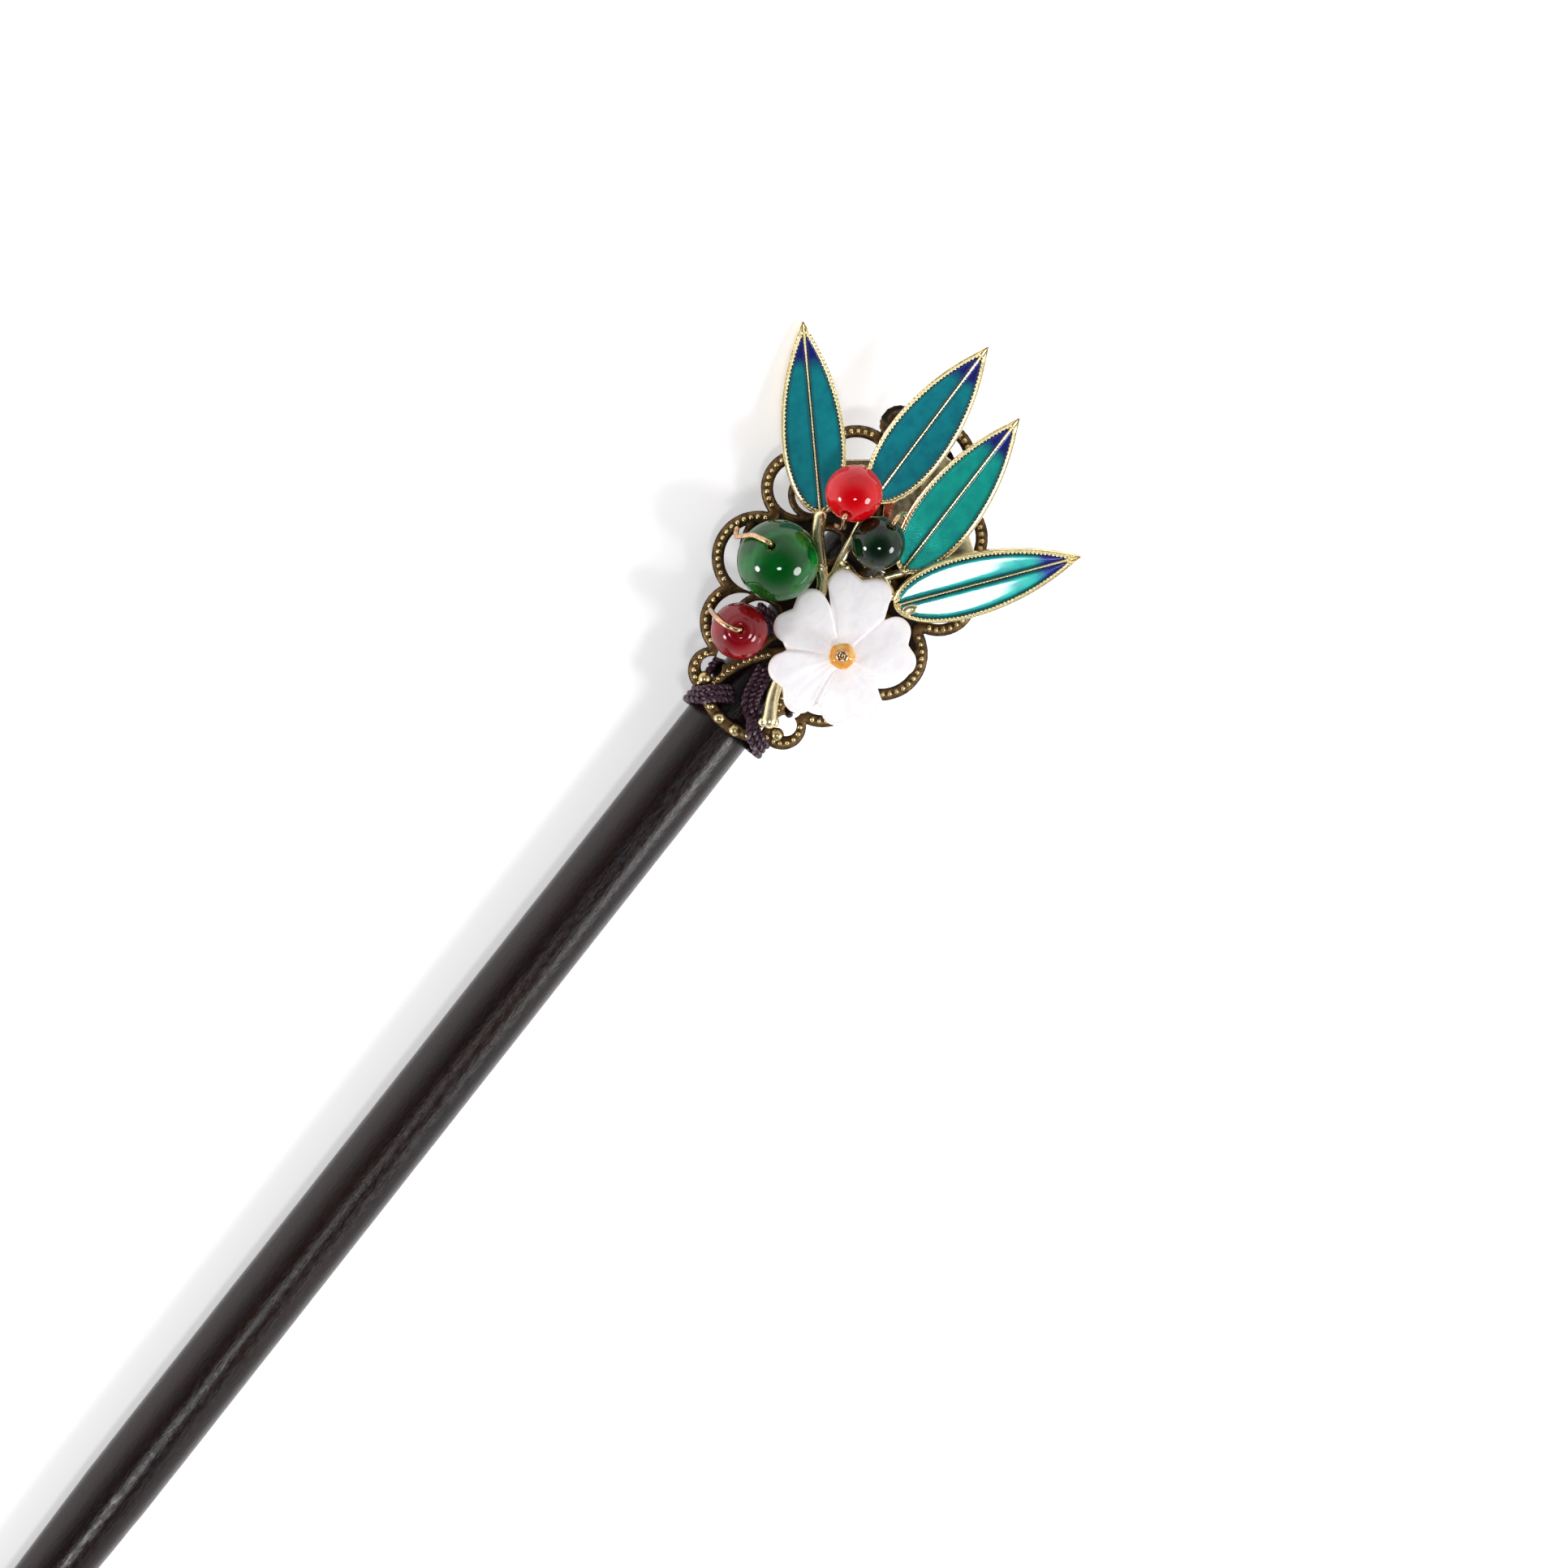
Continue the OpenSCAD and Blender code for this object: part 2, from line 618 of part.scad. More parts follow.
// Lashings: flat bundles of thread, drawn with their flat side to the stick
winding_mid = stick_r + seat_gap + winding_t / 2;
module bundle(p, width) {
    q = [for (v = spline(p)) at(v)];
    rings = len(q);
    frames = [
        for (i = [0 : rings - 1])
            let (t = along_line(q, i), n = square_to([0, q[i][1], q[i][2]], t)) [n, cross(t, n)]
    ];
    ring_solid(q, frames, winding_t / 2, width / 2);
}
function round_under(along, from, to, steps = 6) = [
    for (k = [0 : steps]) let (a = from + (to - from) * k / steps)
        [along[0] + (along[1] - along[0]) * k / steps, winding_mid * cos(a), winding_mid * sin(a)]
];
over_rib = grain_top + 2 * seat_gap + winding_t / 2;
on_stick = winding_mid;
front_lash = 0.021 * plate_l;
module lashing_front() {
    color("#3a1a28") lying() bundle(concat(
        [below(0.194, -0.028, on_stick), below(0.106, 0.028, on_stick),
            below(0.074, 0.137, on_stick + 0.05), below(0.045, 0.209, over_rib),
            below(0.027, 0.297, over_rib - 0.05), below(0.021, 0.349, plate_up + 0.35),
            below(0.021, 0.316, stick_r * 0.55)],
        round_under([front_lash, front_lash], -15, -177),
        [below(0.021, -0.372, stick_r * 0.75), below(0.024, -0.363, plate_top - 0.2),
            below(0.035, -0.305, over_rib), below(0.053, -0.249, over_rib),
            below(0.069, -0.193, plate_top + 0.2), below(0.080, -0.145, on_stick + 0.15),
            below(0.088, -0.120, on_stick)]
    ), thread_d);
}
module lashing_middle() {
    color("#3a1a28") lying() bundle(concat(
        [below(0.114, -0.376, plate_top - 0.3), below(0.114, -0.370, stick_r * 0.7)],
        round_under([0.117 * plate_l, 0.149 * plate_l], -177, -12),
        [below(0.154, 0.308, stick_r * 0.66), below(0.153, 0.341, plate_top - 0.3)]
    ), thread_d);
}
module lashing_back() {
    back = 0.298;
    on_plate_up = plate_top + seat_gap + winding_t / 2;
    color("#3a1a28") lying() bundle(concat(
        [below(back, 0.076, on_plate_up), below(back, 0.185, on_plate_up),
            below(back, 0.277, on_plate_up - 0.15), below(back, 0.313, plate_up),
            below(back, 0.289, stick_r * 0.5)],
        round_under([back * plate_l, back * plate_l], -10, -178),
        [below(back, -0.364, stick_r * 0.5), below(back, -0.370, plate_up - 0.2),
            below(back, -0.329, plate_top), below(back, -0.249, on_plate_up),
            below(back, 0.020, on_plate_up)]
    ), thread_d);
}

// How the ornament lies: the front lashing lifts the head end, the shaft's far corner
// touches the ground, and the first leaf's tip stops the stick from rolling
taper_at = stick_l - head_reach - taper_l;
pitch = atan((winding_t + seat_gap) / (taper_at + front_lash));
axis_height = stick_r * cos(pitch) + taper_at * sin(pitch);
tip_1 = leaf_point(LEAVES[0], 1);
tip_2 = leaf_point(LEAVES[1], 1);
tip_4 = leaf_point(LEAVES[3], 1);
tip_fall = (axis_height + tip_1[0] * sin(pitch)) / cos(pitch);
roll = asin(tip_fall / norm([tip_1[1], sprig_up])) + atan(-sprig_up / tip_1[1]);

// The origin is on the ground, under the middle of everything
function lie_y(side, up) = side * cos(roll) - up * sin(roll);
middle_x = (stick_l - head_reach - tip_2[0]) / 2;
middle_y = (lie_y(tip_1[1], sprig_up + leaf_t)
    + lie_y(tip_4[1], sprig_up + LEAVES[3][3] * leaf_t)) / 2;
module lying() {
    translate([-middle_x, -middle_y, axis_height])
        rotate([0, pitch, 0])
            rotate([roll, 0, 0])
                children();
}

// Stick: a turned shaft whose head end narrows a little below the ornament
HEAD_EDGE = 0.8;
TIP_STEPS = 6;
narrow_at = 0.02 * plate_l;
module stick() {
    tip_r = tip_d / 2;
    tip_x = stick_l - head_reach;
    color("#2a2124") lying() rotate([0, 90, 0]) rotate_extrude()
        polygon(concat(
            [
                [0, -head_reach],
                [head_d / 2 - HEAD_EDGE, -head_reach],
                [head_d / 2 - HEAD_EDGE * 0.3, -head_reach + HEAD_EDGE * 0.3],
                [head_d / 2, -head_reach + HEAD_EDGE],
                [stick_r, narrow_at],
                [stick_r, taper_at],
                [stick_r - (stick_r - tip_r) * 0.4, taper_at + taper_l * 0.5]
            ],
            [
                for (i = [0 : TIP_STEPS - 1])
                    let (a = 90 * i / TIP_STEPS)
                        [tip_r * cos(a), tip_x - tip_r + tip_r * sin(a)]
            ],
            [[0, tip_x]]
        ));
}

stick();
filigree();
sprig();
enamel(0, 1);  // enamel_1_left
enamel(0, -1);  // enamel_1_right
enamel(1, 1);  // enamel_2_left
enamel(1, -1);  // enamel_2_right
enamel(2, 1);  // enamel_3_left
enamel(2, -1);  // enamel_3_right
enamel(3, 1);  // enamel_4_left
enamel(3, -1);  // enamel_4_right
shell_flower();
seed_bead();
green_bead();
red_bead_low();
red_bead_high();
dark_bead();
green_wire();
red_wire_low();
red_wire_high();
dark_wire();
flower_wire();
lashing_front();
lashing_middle();
lashing_back();
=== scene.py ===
# %% [markdown]
# # A hair stick with an enamelled sprig
#
# This notebook dresses a hair stick: a dark wooden stick with a pierced brass plate tied to
# its head, and on the plate a gilt sprig of enamelled leaves, a carved shell flower and
# drilled beads on copper wires. The solid model is loaded first and gives every size and
# place. Each cell after it makes one piece or one finish.

# %% Load the solid model
import json
import math
import random

import bmesh
import bpy
import numpy as np
from mathutils import Matrix, Vector, kdtree


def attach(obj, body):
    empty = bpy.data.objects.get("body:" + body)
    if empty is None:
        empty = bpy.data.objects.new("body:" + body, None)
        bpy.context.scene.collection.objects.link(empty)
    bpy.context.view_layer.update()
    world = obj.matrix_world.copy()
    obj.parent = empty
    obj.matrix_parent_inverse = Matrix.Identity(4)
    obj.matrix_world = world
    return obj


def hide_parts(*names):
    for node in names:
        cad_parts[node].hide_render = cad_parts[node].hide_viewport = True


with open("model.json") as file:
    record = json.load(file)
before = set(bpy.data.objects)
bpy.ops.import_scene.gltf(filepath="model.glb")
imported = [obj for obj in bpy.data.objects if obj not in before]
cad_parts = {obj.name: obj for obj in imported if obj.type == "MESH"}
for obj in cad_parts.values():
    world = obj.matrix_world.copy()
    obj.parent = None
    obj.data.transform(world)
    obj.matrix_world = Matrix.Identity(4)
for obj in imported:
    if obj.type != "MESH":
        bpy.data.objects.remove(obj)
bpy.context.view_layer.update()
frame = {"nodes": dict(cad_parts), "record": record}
MM = 0.001
TAU = 2 * math.pi

# %% [markdown]
# ## Where things are
#
# The stick lies as it comes to rest: on its shaft, on a lashing and on one leaf tip, so the
# plate leans. It is far easier to think along the stick. So every point below is given in
# millimetres by how far it is along the stick from the plate's lower edge towards the head,
# how far to the ornament's right, and how far up from the stick's axis. The shaft's mount in
# the record gives the axis, and the flat top of one enamel cell gives the plate's lean.

# %% The ornament's own directions
shaft = frame["record"]["mounts"][0]
SHAFT_START = 0.752  # mm from the plate's lower edge to where the true cylinder begins
towards_tip = Vector(shaft["axis"]).normalized()
shaft_middle = SHAFT_START + shaft["dims"]["length_mm"] / 2
lower_edge = Vector(shaft["pos_m"]) - towards_tip * shaft_middle * MM

FLAT_TOP = 0.8
up_sum = Vector()
for face in frame["nodes"]["enamel_1_left"].data.polygons:
    if face.normal.z > FLAT_TOP:
        up_sum += face.normal * face.area
upward = up_sum.normalized()
rightward = upward.cross(towards_tip).normalized()
headward = -towards_tip

# Columns are one millimetre along, to the right and up, in metres of the model
ornament = Matrix.Identity(4)
for column, direction in enumerate((headward, rightward, upward)):
    for row in range(3):
        ornament[row][column] = direction[row] * MM
ornament.translation = lower_edge


def place(along, side, up):
    """A point of the ornament in millimetres, as a point of the model in metres."""
    return ornament @ Vector((along, side, up))


print("the plate leans", round(math.degrees(upward.angle(Vector((0, 0, 1)))), 2), "degrees")

# %% [markdown]
# ## The camera
#
# The photograph looks straight down on the plate, with the stick running up to the right at
# 51.8 degrees. A long lens from far away keeps the sides of the stick parallel, as they are
# in the photograph. The frame is 153.3 mm wide at the plate.

# %% Camera
STICK_SLOPE = 51.83  # degrees from the frame's right-hand direction
FRAME_WIDTH = 153.3
FRAME_MIDDLE = (-0.5, 8.63, 5.0)
CAMERA_FAR = 1100.0
SENSOR = 36.0

slope = math.radians(STICK_SLOPE)
frame_right = headward * math.cos(slope) + rightward * math.sin(slope)
frame_up = headward * math.sin(slope) - rightward * math.cos(slope)
camera_data = bpy.data.cameras.new("camera")
camera_data.sensor_width = SENSOR
camera_data.lens = SENSOR * CAMERA_FAR / FRAME_WIDTH
camera_data.clip_end = 20.0
camera = bpy.data.objects.new("camera", camera_data)
bpy.context.scene.collection.objects.link(camera)
turned = Matrix((frame_right, frame_up, upward)).transposed().to_4x4()
camera.matrix_world = Matrix.Translation(place(*FRAME_MIDDLE) + upward * CAMERA_FAR * MM) @ turned
bpy.context.scene.camera = camera
# The photograph has a plain, contrasty rendering with a pure white ground
bpy.context.scene.view_settings.view_transform = "Standard"
print("camera lens", round(camera_data.lens, 1), "mm, at", [round(v, 3) for v in camera.location])

# %% [markdown]
# ## Building with rows of points
#
# Nearly every piece here is a sheet of points: a tube is a row of rings, a bead is a turned
# profile, a leaf is a row of cross-sections. `Shape` gathers such sheets, with a number from
# 0 to 1 for each point that tells the finish how far the metal stands proud, and `wear`
# turns the shape into one object that rides on the model and stands for its node.


# %% A shape made of sheets of points
class Shape:
    """Gathers points, faces and one number per point, and becomes one mesh."""

    def __init__(self):
        self.points, self.faces, self.relief = [], [], []

    def sheet(self, rows, relief=0.5, loop=False, capped=False):
        """Adds rows of points; a loop joins each row's ends, and capped closes both ends."""
        first, across = len(self.points), len(rows[0])
        for row in rows:
            self.points.extend(row)
        count = len(rows) * across
        self.relief.extend(relief if isinstance(relief, list) else [relief] * count)
        for i in range(len(rows) - 1):
            for k in range(across if loop else across - 1):
                here = first + i * across
                after = (k + 1) % across
                there = here + across
                self.faces.append((here + k, there + k, there + after, here + after))
        if capped:
            self.faces.append(tuple(first + k for k in range(across)))
            self.faces.append(tuple(first + count - 1 - k for k in range(across)))

    def tube(self, line, radius, sides=12, relief=0.5):
        """A round tube along a line, with rounded ends."""
        radii = radius if isinstance(radius, list) else [radius] * len(line)
        rows = []
        for i, (point, (ahead, side, other)) in enumerate(zip(line, frames_along(line))):
            ends = [0]
            if i == 0:
                ends = [-85, -60, -30, 0]
            elif i == len(line) - 1:
                ends = [0, 30, 60, 85]
            for end in ends:
                bend = math.radians(end)
                r = radii[i] * math.cos(bend)
                middle = point + ahead * radii[i] * math.sin(bend)
                turns = [TAU * k / sides for k in range(sides)]
                rows.append([middle + side * r * math.cos(t) + other * r * math.sin(t) for t in turns])
        self.sheet(rows, relief, loop=True, capped=True)

    def ball(self, middle, radius, sides=10, rings=6, height=1.0, relief=0.5):
        """A ball, or an oval where its height isn't 1; its relief may grow towards the top."""
        axis = Vector((0, 0, 1))
        side = axis.orthogonal().normalized()
        other = axis.cross(side)
        turns = [TAU * k / sides for k in range(sides)]
        rows, shades = [], []
        for i in range(rings + 1):
            a = math.radians(-89 + 178 * i / rings)
            level = middle + axis * radius * height * math.sin(a)
            r = radius * math.cos(a)
            rows.append([level + (side * math.cos(t) + other * math.sin(t)) * r for t in turns])
            shade = relief if not isinstance(relief, tuple) else (
                relief[0] + (relief[1] - relief[0]) * max(0, math.sin(a)))
            shades.extend([shade] * sides)
        self.sheet(rows, shades, loop=True, capped=True)


print("a shape can gather:", ", ".join(name for name in vars(Shape) if name[0] != "_"))


# %% Lines and smooth steps
def frames_along(line):
    """At each point of a line: the way ahead and two directions square to it."""
    frames, side = [], Vector((0.31, 0.52, 0.79))
    for i in range(len(line)):
        ahead = (line[min(i + 1, len(line) - 1)] - line[max(i - 1, 0)]).normalized()
        side = (side - ahead * side.dot(ahead)).normalized()
        frames.append((ahead, side, ahead.cross(side)))
    return frames


def smooth_line(points, steps=8):
    """A smooth line through chosen points, with a few steps from each to the next."""
    p = [Vector(q) for q in points]
    p = [2 * p[0] - p[1], *p, 2 * p[-1] - p[-2]]
    line = []
    for a, b, c, d in zip(p, p[1:], p[2:], p[3:]):
        for k in range(steps):
            f = k / steps
            line.append(0.5 * (2 * b + (c - a) * f + (2 * a - 5 * b + 4 * c - d) * f * f
                               + (3 * b - a - 3 * c + d) * f ** 3))
    line.append(p[-2])
    return line


def smoothly(value, low, high):
    """0 below low, 1 above high, and a smooth rise between them."""
    f = min(1, max(0, (value - low) / (high - low)))
    return f * f * (3 - 2 * f)


print("halfway up a smooth step:", smoothly(0.5, 0, 1))


# %% From a shape to a piece of the model
def turn_outward(mesh):
    """Turns all faces of closed sheets to the outside."""
    net = bmesh.new()
    net.from_mesh(mesh)
    bmesh.ops.recalc_face_normals(net, faces=net.faces)
    net.to_mesh(mesh)
    net.free()


def wear(name, shape, finish, node, crease=50):
    """Makes a shape one object that rides on the model and stands for its node."""
    mesh = bpy.data.meshes.new(name)
    mesh.from_pydata([tuple(p) for p in shape.points], [], shape.faces)
    mesh.transform(ornament)
    relief = mesh.attributes.new("relief", "FLOAT", "POINT")
    relief.data.foreach_set("value", shape.relief)
    turn_outward(mesh)
    mesh.shade_smooth()
    mesh.set_sharp_from_angle(angle=math.radians(crease))
    mesh.materials.append(finish)
    mesh.update()
    piece = bpy.data.objects.new(name, mesh)
    bpy.context.scene.collection.objects.link(piece)
    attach(piece, "root")
    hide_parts(node)
    print(name, len(mesh.polygons), "faces for", node)
    return piece


print("the model has the nodes", ", ".join(sorted(frame["nodes"])))

# %% [markdown]
# ## Colours and shader nodes
#
# Colours are written as sRGB hex, as they are read off a screen, and one function turns them
# into the linear values that the shaders need. A second small function adds any shader node
# with its settings and its links, so that each finish below reads as a short recipe.
# Patterns take their scale from `position_mm`, the place on the model in millimetres.

# %% Helpers for finishes
SMOOTH = {"interpolation_type": "SMOOTHSTEP"}
RELIEF = {"attribute_name": "relief"}


def colour(hex_code, alpha=1.0):
    """An sRGB hex colour as linear red, green, blue and alpha."""
    parts = [int(hex_code[i:i + 2], 16) / 255 for i in (1, 3, 5)]
    linear = [v / 12.92 if v <= 0.04045 else ((v + 0.055) / 1.055) ** 2.4 for v in parts]
    return (*linear, alpha)


def add(material, kind, settings=None, **inputs):
    """A shader node with its settings, each input a value or another node's output."""
    node = material.node_tree.nodes.new("ShaderNode" + kind)
    for name, value in (settings or {}).items():
        setattr(node, name, value)
    for name, value in inputs.items():
        key = int(name[1:]) if name[0] == "_" else name.replace("_", " ")
        if isinstance(value, bpy.types.NodeSocket):
            material.node_tree.links.new(value, node.inputs[key])
        else:
            node.inputs[key].default_value = value
    return node


print("mid grey is", round(colour("#808080")[0], 3), "in linear light")


# %% Recipes that every finish shares
def new_finish(name):
    """An empty material and its output node."""
    material = bpy.data.materials.new(name)
    material.use_nodes = True
    material.node_tree.nodes.clear()
    return material, material.node_tree.nodes.new("ShaderNodeOutputMaterial")


def finish_with(material, output, shader, screen):
    """Sends a shader to the output, and names the colour of the plain solid view."""
    material.node_tree.links.new(shader.outputs[0], output.inputs["Surface"])
    material.diffuse_color = colour(screen)
    print(material.name, len(material.node_tree.nodes), "nodes")
    return material


def position_mm(material, stretch=(1, 1, 1)):
    """The place on the model in millimetres, each direction scaled by a stretch."""
    place_node = add(material, "TexCoord")
    return add(material, "Mapping", _0=place_node.outputs["Object"],
               Scale=tuple(s / MM for s in stretch)).outputs[0]


def toned(material, value, low, high, first, second, most=1.0):
    """A colour that goes from first to second as a value goes from low to high."""
    share = add(material, "MapRange", SMOOTH, Value=value, From_Min=low, From_Max=high, To_Max=most)
    return add(material, "Mix", {"data_type": "RGBA"}, _0=share.outputs[0], _6=first, _7=second).outputs[2]


print("one millimetre of the model is", MM, "of Blender's units")

# %% [markdown]
# ## Dark wood
#
# The stick is nearly black hardwood, turned and rubbed to a satin polish. Short fine pores lie
# along it. They are darker and less shiny, and they break the long highlight into grains. Real
# pores are about 0.1 mm wide; here they are 0.2 mm wide and 1 mm long, so that they show.

# %% Finish: dark wood
wood, out = new_finish("dark_wood")
broad = add(wood, "TexNoise", Vector=position_mm(wood, (0.035, 0.55, 0.55)), Scale=1.0, Detail=5.0,
            Roughness=0.6, Distortion=0.4).outputs[0]
fine = add(wood, "TexNoise", Vector=position_mm(wood, (0.9, 4.2, 4.2)), Scale=1.0, Detail=3.0,
           Roughness=0.65).outputs[0]
tone = toned(wood, broad, 0.35, 0.68, colour("#170b0d"), colour("#21120f"))
tone = toned(wood, fine, 0.56, 0.68, tone, colour("#0c080a"))
shine = add(wood, "MapRange", SMOOTH, Value=fine, From_Min=0.35, From_Max=0.65, To_Min=0.18, To_Max=0.32)
grain = add(wood, "Bump", Height=fine, Distance=0.035 * MM, Strength=0.8)
wood_shader = add(wood, "BsdfPrincipled", Base_Color=tone, Roughness=shine.outputs[0], IOR=1.5,
                  Specular_IOR_Level=0.4, Normal=grain.outputs[0])
finish_with(wood, out, wood_shader, "#2a2124")

# %% [markdown]
# ## Aged brass
#
# The plate is brass, darkened in its hollows and rubbed bright where it stands proud. The
# number `relief` in each point, from 0 in a hollow to 1 on top of a grain, says which. To the
# eye it is brown and dull between the ribs, with pale yellow sparks on the beading.

# %% Finish: aged brass
brass, out = new_finish("aged_brass")
# Dirt lies in patches of about 0.6 mm, and scuffs are about 0.1 mm wide
grime = add(brass, "TexNoise", Vector=position_mm(brass), Scale=1.6, Detail=5.0, Roughness=0.65)
scuffs = add(brass, "TexNoise", Vector=position_mm(brass), Scale=9.0, Detail=3.0, Roughness=0.6)
uneven = add(brass, "MapRange", SMOOTH, Value=grime.outputs[0], From_Min=0.3, From_Max=0.7,
             To_Min=-0.16, To_Max=0.16)
proud = add(brass, "Math", {"operation": "ADD"}, _1=uneven.outputs[0],
            _0=add(brass, "Attribute", RELIEF).outputs["Fac"]).outputs[0]
tone = toned(brass, proud, 0.15, 0.52, colour("#20160f"), colour("#735a3a"))
tone = toned(brass, proud, 0.55, 0.95, tone, colour("#d6c08c"))
bare = add(brass, "MapRange", SMOOTH, Value=proud, From_Min=0.1, From_Max=0.5, To_Min=0.55, To_Max=1.0)
dull = add(brass, "MapRange", SMOOTH, Value=proud, From_Min=0.3, From_Max=1.0, To_Min=0.52, To_Max=0.24)
scratched = add(brass, "Bump", Height=scuffs.outputs[0], Distance=0.03 * MM, Strength=0.5)
brass_shader = add(brass, "BsdfPrincipled", Base_Color=tone, Metallic=bare.outputs[0],
                   Roughness=dull.outputs[0], Normal=scratched.outputs[0])
finish_with(brass, out, brass_shader, "#5a4630")

# %% [markdown]
# ## Gilt brass
#
# The sprig is cast brass plated yellow, bright and smooth, with a browner tone low down where
# the polish doesn't reach, and a very fine unevenness that makes its reflections sparkle.

# %% Finish: gilt brass
gilt, out = new_finish("gilt_brass")
# Tarnish in patches of about 0.9 mm, and the 0.3 mm waves that casting leaves
grime = add(gilt, "TexNoise", Vector=position_mm(gilt), Scale=1.1, Detail=4.0, Roughness=0.6).outputs[0]
waves = add(gilt, "TexNoise", Vector=position_mm(gilt), Scale=3.5, Detail=3.0, Roughness=0.5).outputs[0]
uneven = add(gilt, "MapRange", SMOOTH, Value=grime, From_Min=0.3, From_Max=0.7, To_Min=-0.12, To_Max=0.12)
proud = add(gilt, "Math", {"operation": "ADD"}, _1=uneven.outputs[0],
            _0=add(gilt, "Attribute", RELIEF).outputs["Fac"]).outputs[0]
dull = add(gilt, "MapRange", SMOOTH, Value=grime, From_Min=0.3, From_Max=0.7, To_Min=0.18, To_Max=0.32)
wavy = add(gilt, "Bump", Height=waves, Distance=0.04 * MM, Strength=0.35)
gilt_shader = add(gilt, "BsdfPrincipled", Metallic=1.0, Roughness=dull.outputs[0], Normal=wavy.outputs[0],
                  Base_Color=toned(gilt, proud, 0.1, 0.55, colour("#a8802f"), colour("#fbecbc")))
finish_with(gilt, out, gilt_shader, "#d9b85f")

# %% [markdown]
# ## Enamel
#
# Clear blue-green enamel lies over bright metal, so the finish is a metal seen through a
# tinted, very smooth coat. The numbers `along` and `edge` in each point are the share of the
# leaf's length and the distance from the cell's wall in millimetres: the last part of a leaf
# is deep blue, and the glass is painted darker against the walls, as painted shade where the
# rims shade it and the glass is thicker. Flakes of foil 0.15 mm wide glitter near the base,
# each leaf with its own share of them.


# %% Finish: enamel, one for each leaf
def enamel_finish(name, middle, wall, glitter):
    """Tinted clear enamel over metal, with its own blue-green and share of foil."""
    enamel, out = new_finish(name)
    # Clouds in the glass are a little over 1 mm wide
    cloud = add(enamel, "TexNoise", Vector=position_mm(enamel), Scale=0.8, Detail=4.0, Roughness=0.6)
    flakes = add(enamel, "TexVoronoi", Vector=position_mm(enamel), Scale=7.0)
    along = add(enamel, "Attribute", {"attribute_name": "along"}).outputs["Fac"]
    edge = add(enamel, "Attribute", {"attribute_name": "edge"}).outputs["Fac"]
    bands = add(enamel, "Math", {"operation": "MULTIPLY_ADD"}, _0=cloud.outputs[0], _1=0.05, _2=along)
    foil = add(enamel, "MapRange", SMOOTH, Value=along, From_Min=0.34, From_Max=0.12, To_Max=glitter)
    tone = toned(enamel, cloud.outputs[0], 0.35, 0.7, colour(middle), colour(wall))
    # Painted shade: the glass darkens by the cell walls, where the rims shade it and it is thicker
    tone = toned(enamel, edge, 0.34, 0.0, tone, colour("#04474f"), most=0.75)
    tone = toned(enamel, bands.outputs[0], 0.765, 0.845, tone, colour("#1f2a86"))
    sparks = add(enamel, "Bump", Height=flakes.outputs["Distance"], Distance=0.05 * MM,
                 Strength=foil.outputs[0])
    shader = add(enamel, "BsdfPrincipled", Base_Color=tone, Metallic=0.55, Roughness=0.34,
                 Coat_Weight=1.0, Coat_Roughness=0.05, Coat_IOR=1.55, Normal=sparks.outputs[0])
    return finish_with(enamel, out, shader, middle)


enamels = [
    enamel_finish("enamel_teal", "#0fa5b0", "#0c92a0", 0.0),
    enamel_finish("enamel_sea", "#0ea3b0", "#0b8ca0", 0.15),
    enamel_finish("enamel_green", "#10c6b2", "#0dada6", 1.0),
    enamel_finish("enamel_bright", "#10a39a", "#0c8a8e", 0.5),
]

# %% [markdown]
# ## Shell
#
# The flower is white shell, carved and polished: light goes a little way in, and the thin edges
# are painted a warm tone, a painted glow of light shining through them. The whole shell also
# gives off a faint painted glow of its own, and the layers show as faint bands with a soft shine.

# %% Finish: shell
shell, out = new_finish("shell")
# Growth layers 1 to 2 mm apart, drawn coarser than real ones so that they show
layers = add(shell, "TexNoise", Vector=position_mm(shell, (0.5, 0.9, 0.5)), Scale=0.9, Detail=4.0,
             Roughness=0.55, Distortion=1.2).outputs[0]
painted_glow_fade = add(shell, "Attribute", RELIEF).outputs["Fac"]
tone = toned(shell, layers, 0.35, 0.68, colour("#fbf9fb"), colour("#f1eef4"))
# Painted glow: the thin edges are tinted warm, for light that shines through them
tone = toned(shell, painted_glow_fade, 0.25, 0.0, tone, colour("#ecd6ca"), most=0.6)
layered = add(shell, "Bump", Height=layers, Distance=0.08 * MM, Strength=0.25)
# The emission is a painted glow that makes the whole shell brighter
shell_shader = add(
    shell, "BsdfPrincipled", Base_Color=tone, Roughness=0.26, IOR=1.53, Normal=layered.outputs[0],
    Subsurface_Weight=0.35, Subsurface_Radius=(1.0, 0.8, 0.7), Subsurface_Scale=1.0 * MM,
    Coat_Weight=0.5, Coat_Roughness=0.08, Emission_Color=colour("#fff6f2"), Emission_Strength=0.12)
finish_with(shell, out, shell_shader, "#f3f0f4")

# %% [markdown]
# ## Glass beads
#
# The beads are coloured glass, moulded and fire-polished. Their colour is partly on the
# surface and partly inside, so each keeps a hard, bright reflection on top.


# %% Finish: glass beads
def glass_finish(name, deep, light, clear, patch, rough=0.05, stretch=(1, 1, 1)):
    """Glass with lighter clouds, `patch` of them to a millimetre; `clear` is the share seen through."""
    glass, out = new_finish(name)
    cloud = add(glass, "TexNoise", Vector=position_mm(glass, stretch), Scale=patch, Detail=3.0,
                Roughness=0.5, Distortion=0.8)
    tone = toned(glass, cloud.outputs[0], 0.42, 0.68, colour(deep), colour(light))
    shader = add(
        glass, "BsdfPrincipled", Base_Color=tone, Roughness=rough, IOR=1.52, Specular_IOR_Level=0.36,
        Transmission_Weight=clear, Subsurface_Weight=0.25 * (1 - clear), Subsurface_Scale=1.5 * MM,
        Subsurface_Radius=(1.0, 1.0, 1.0), Coat_Weight=0.15, Coat_Roughness=0.02)
    return finish_with(glass, out, shader, light)


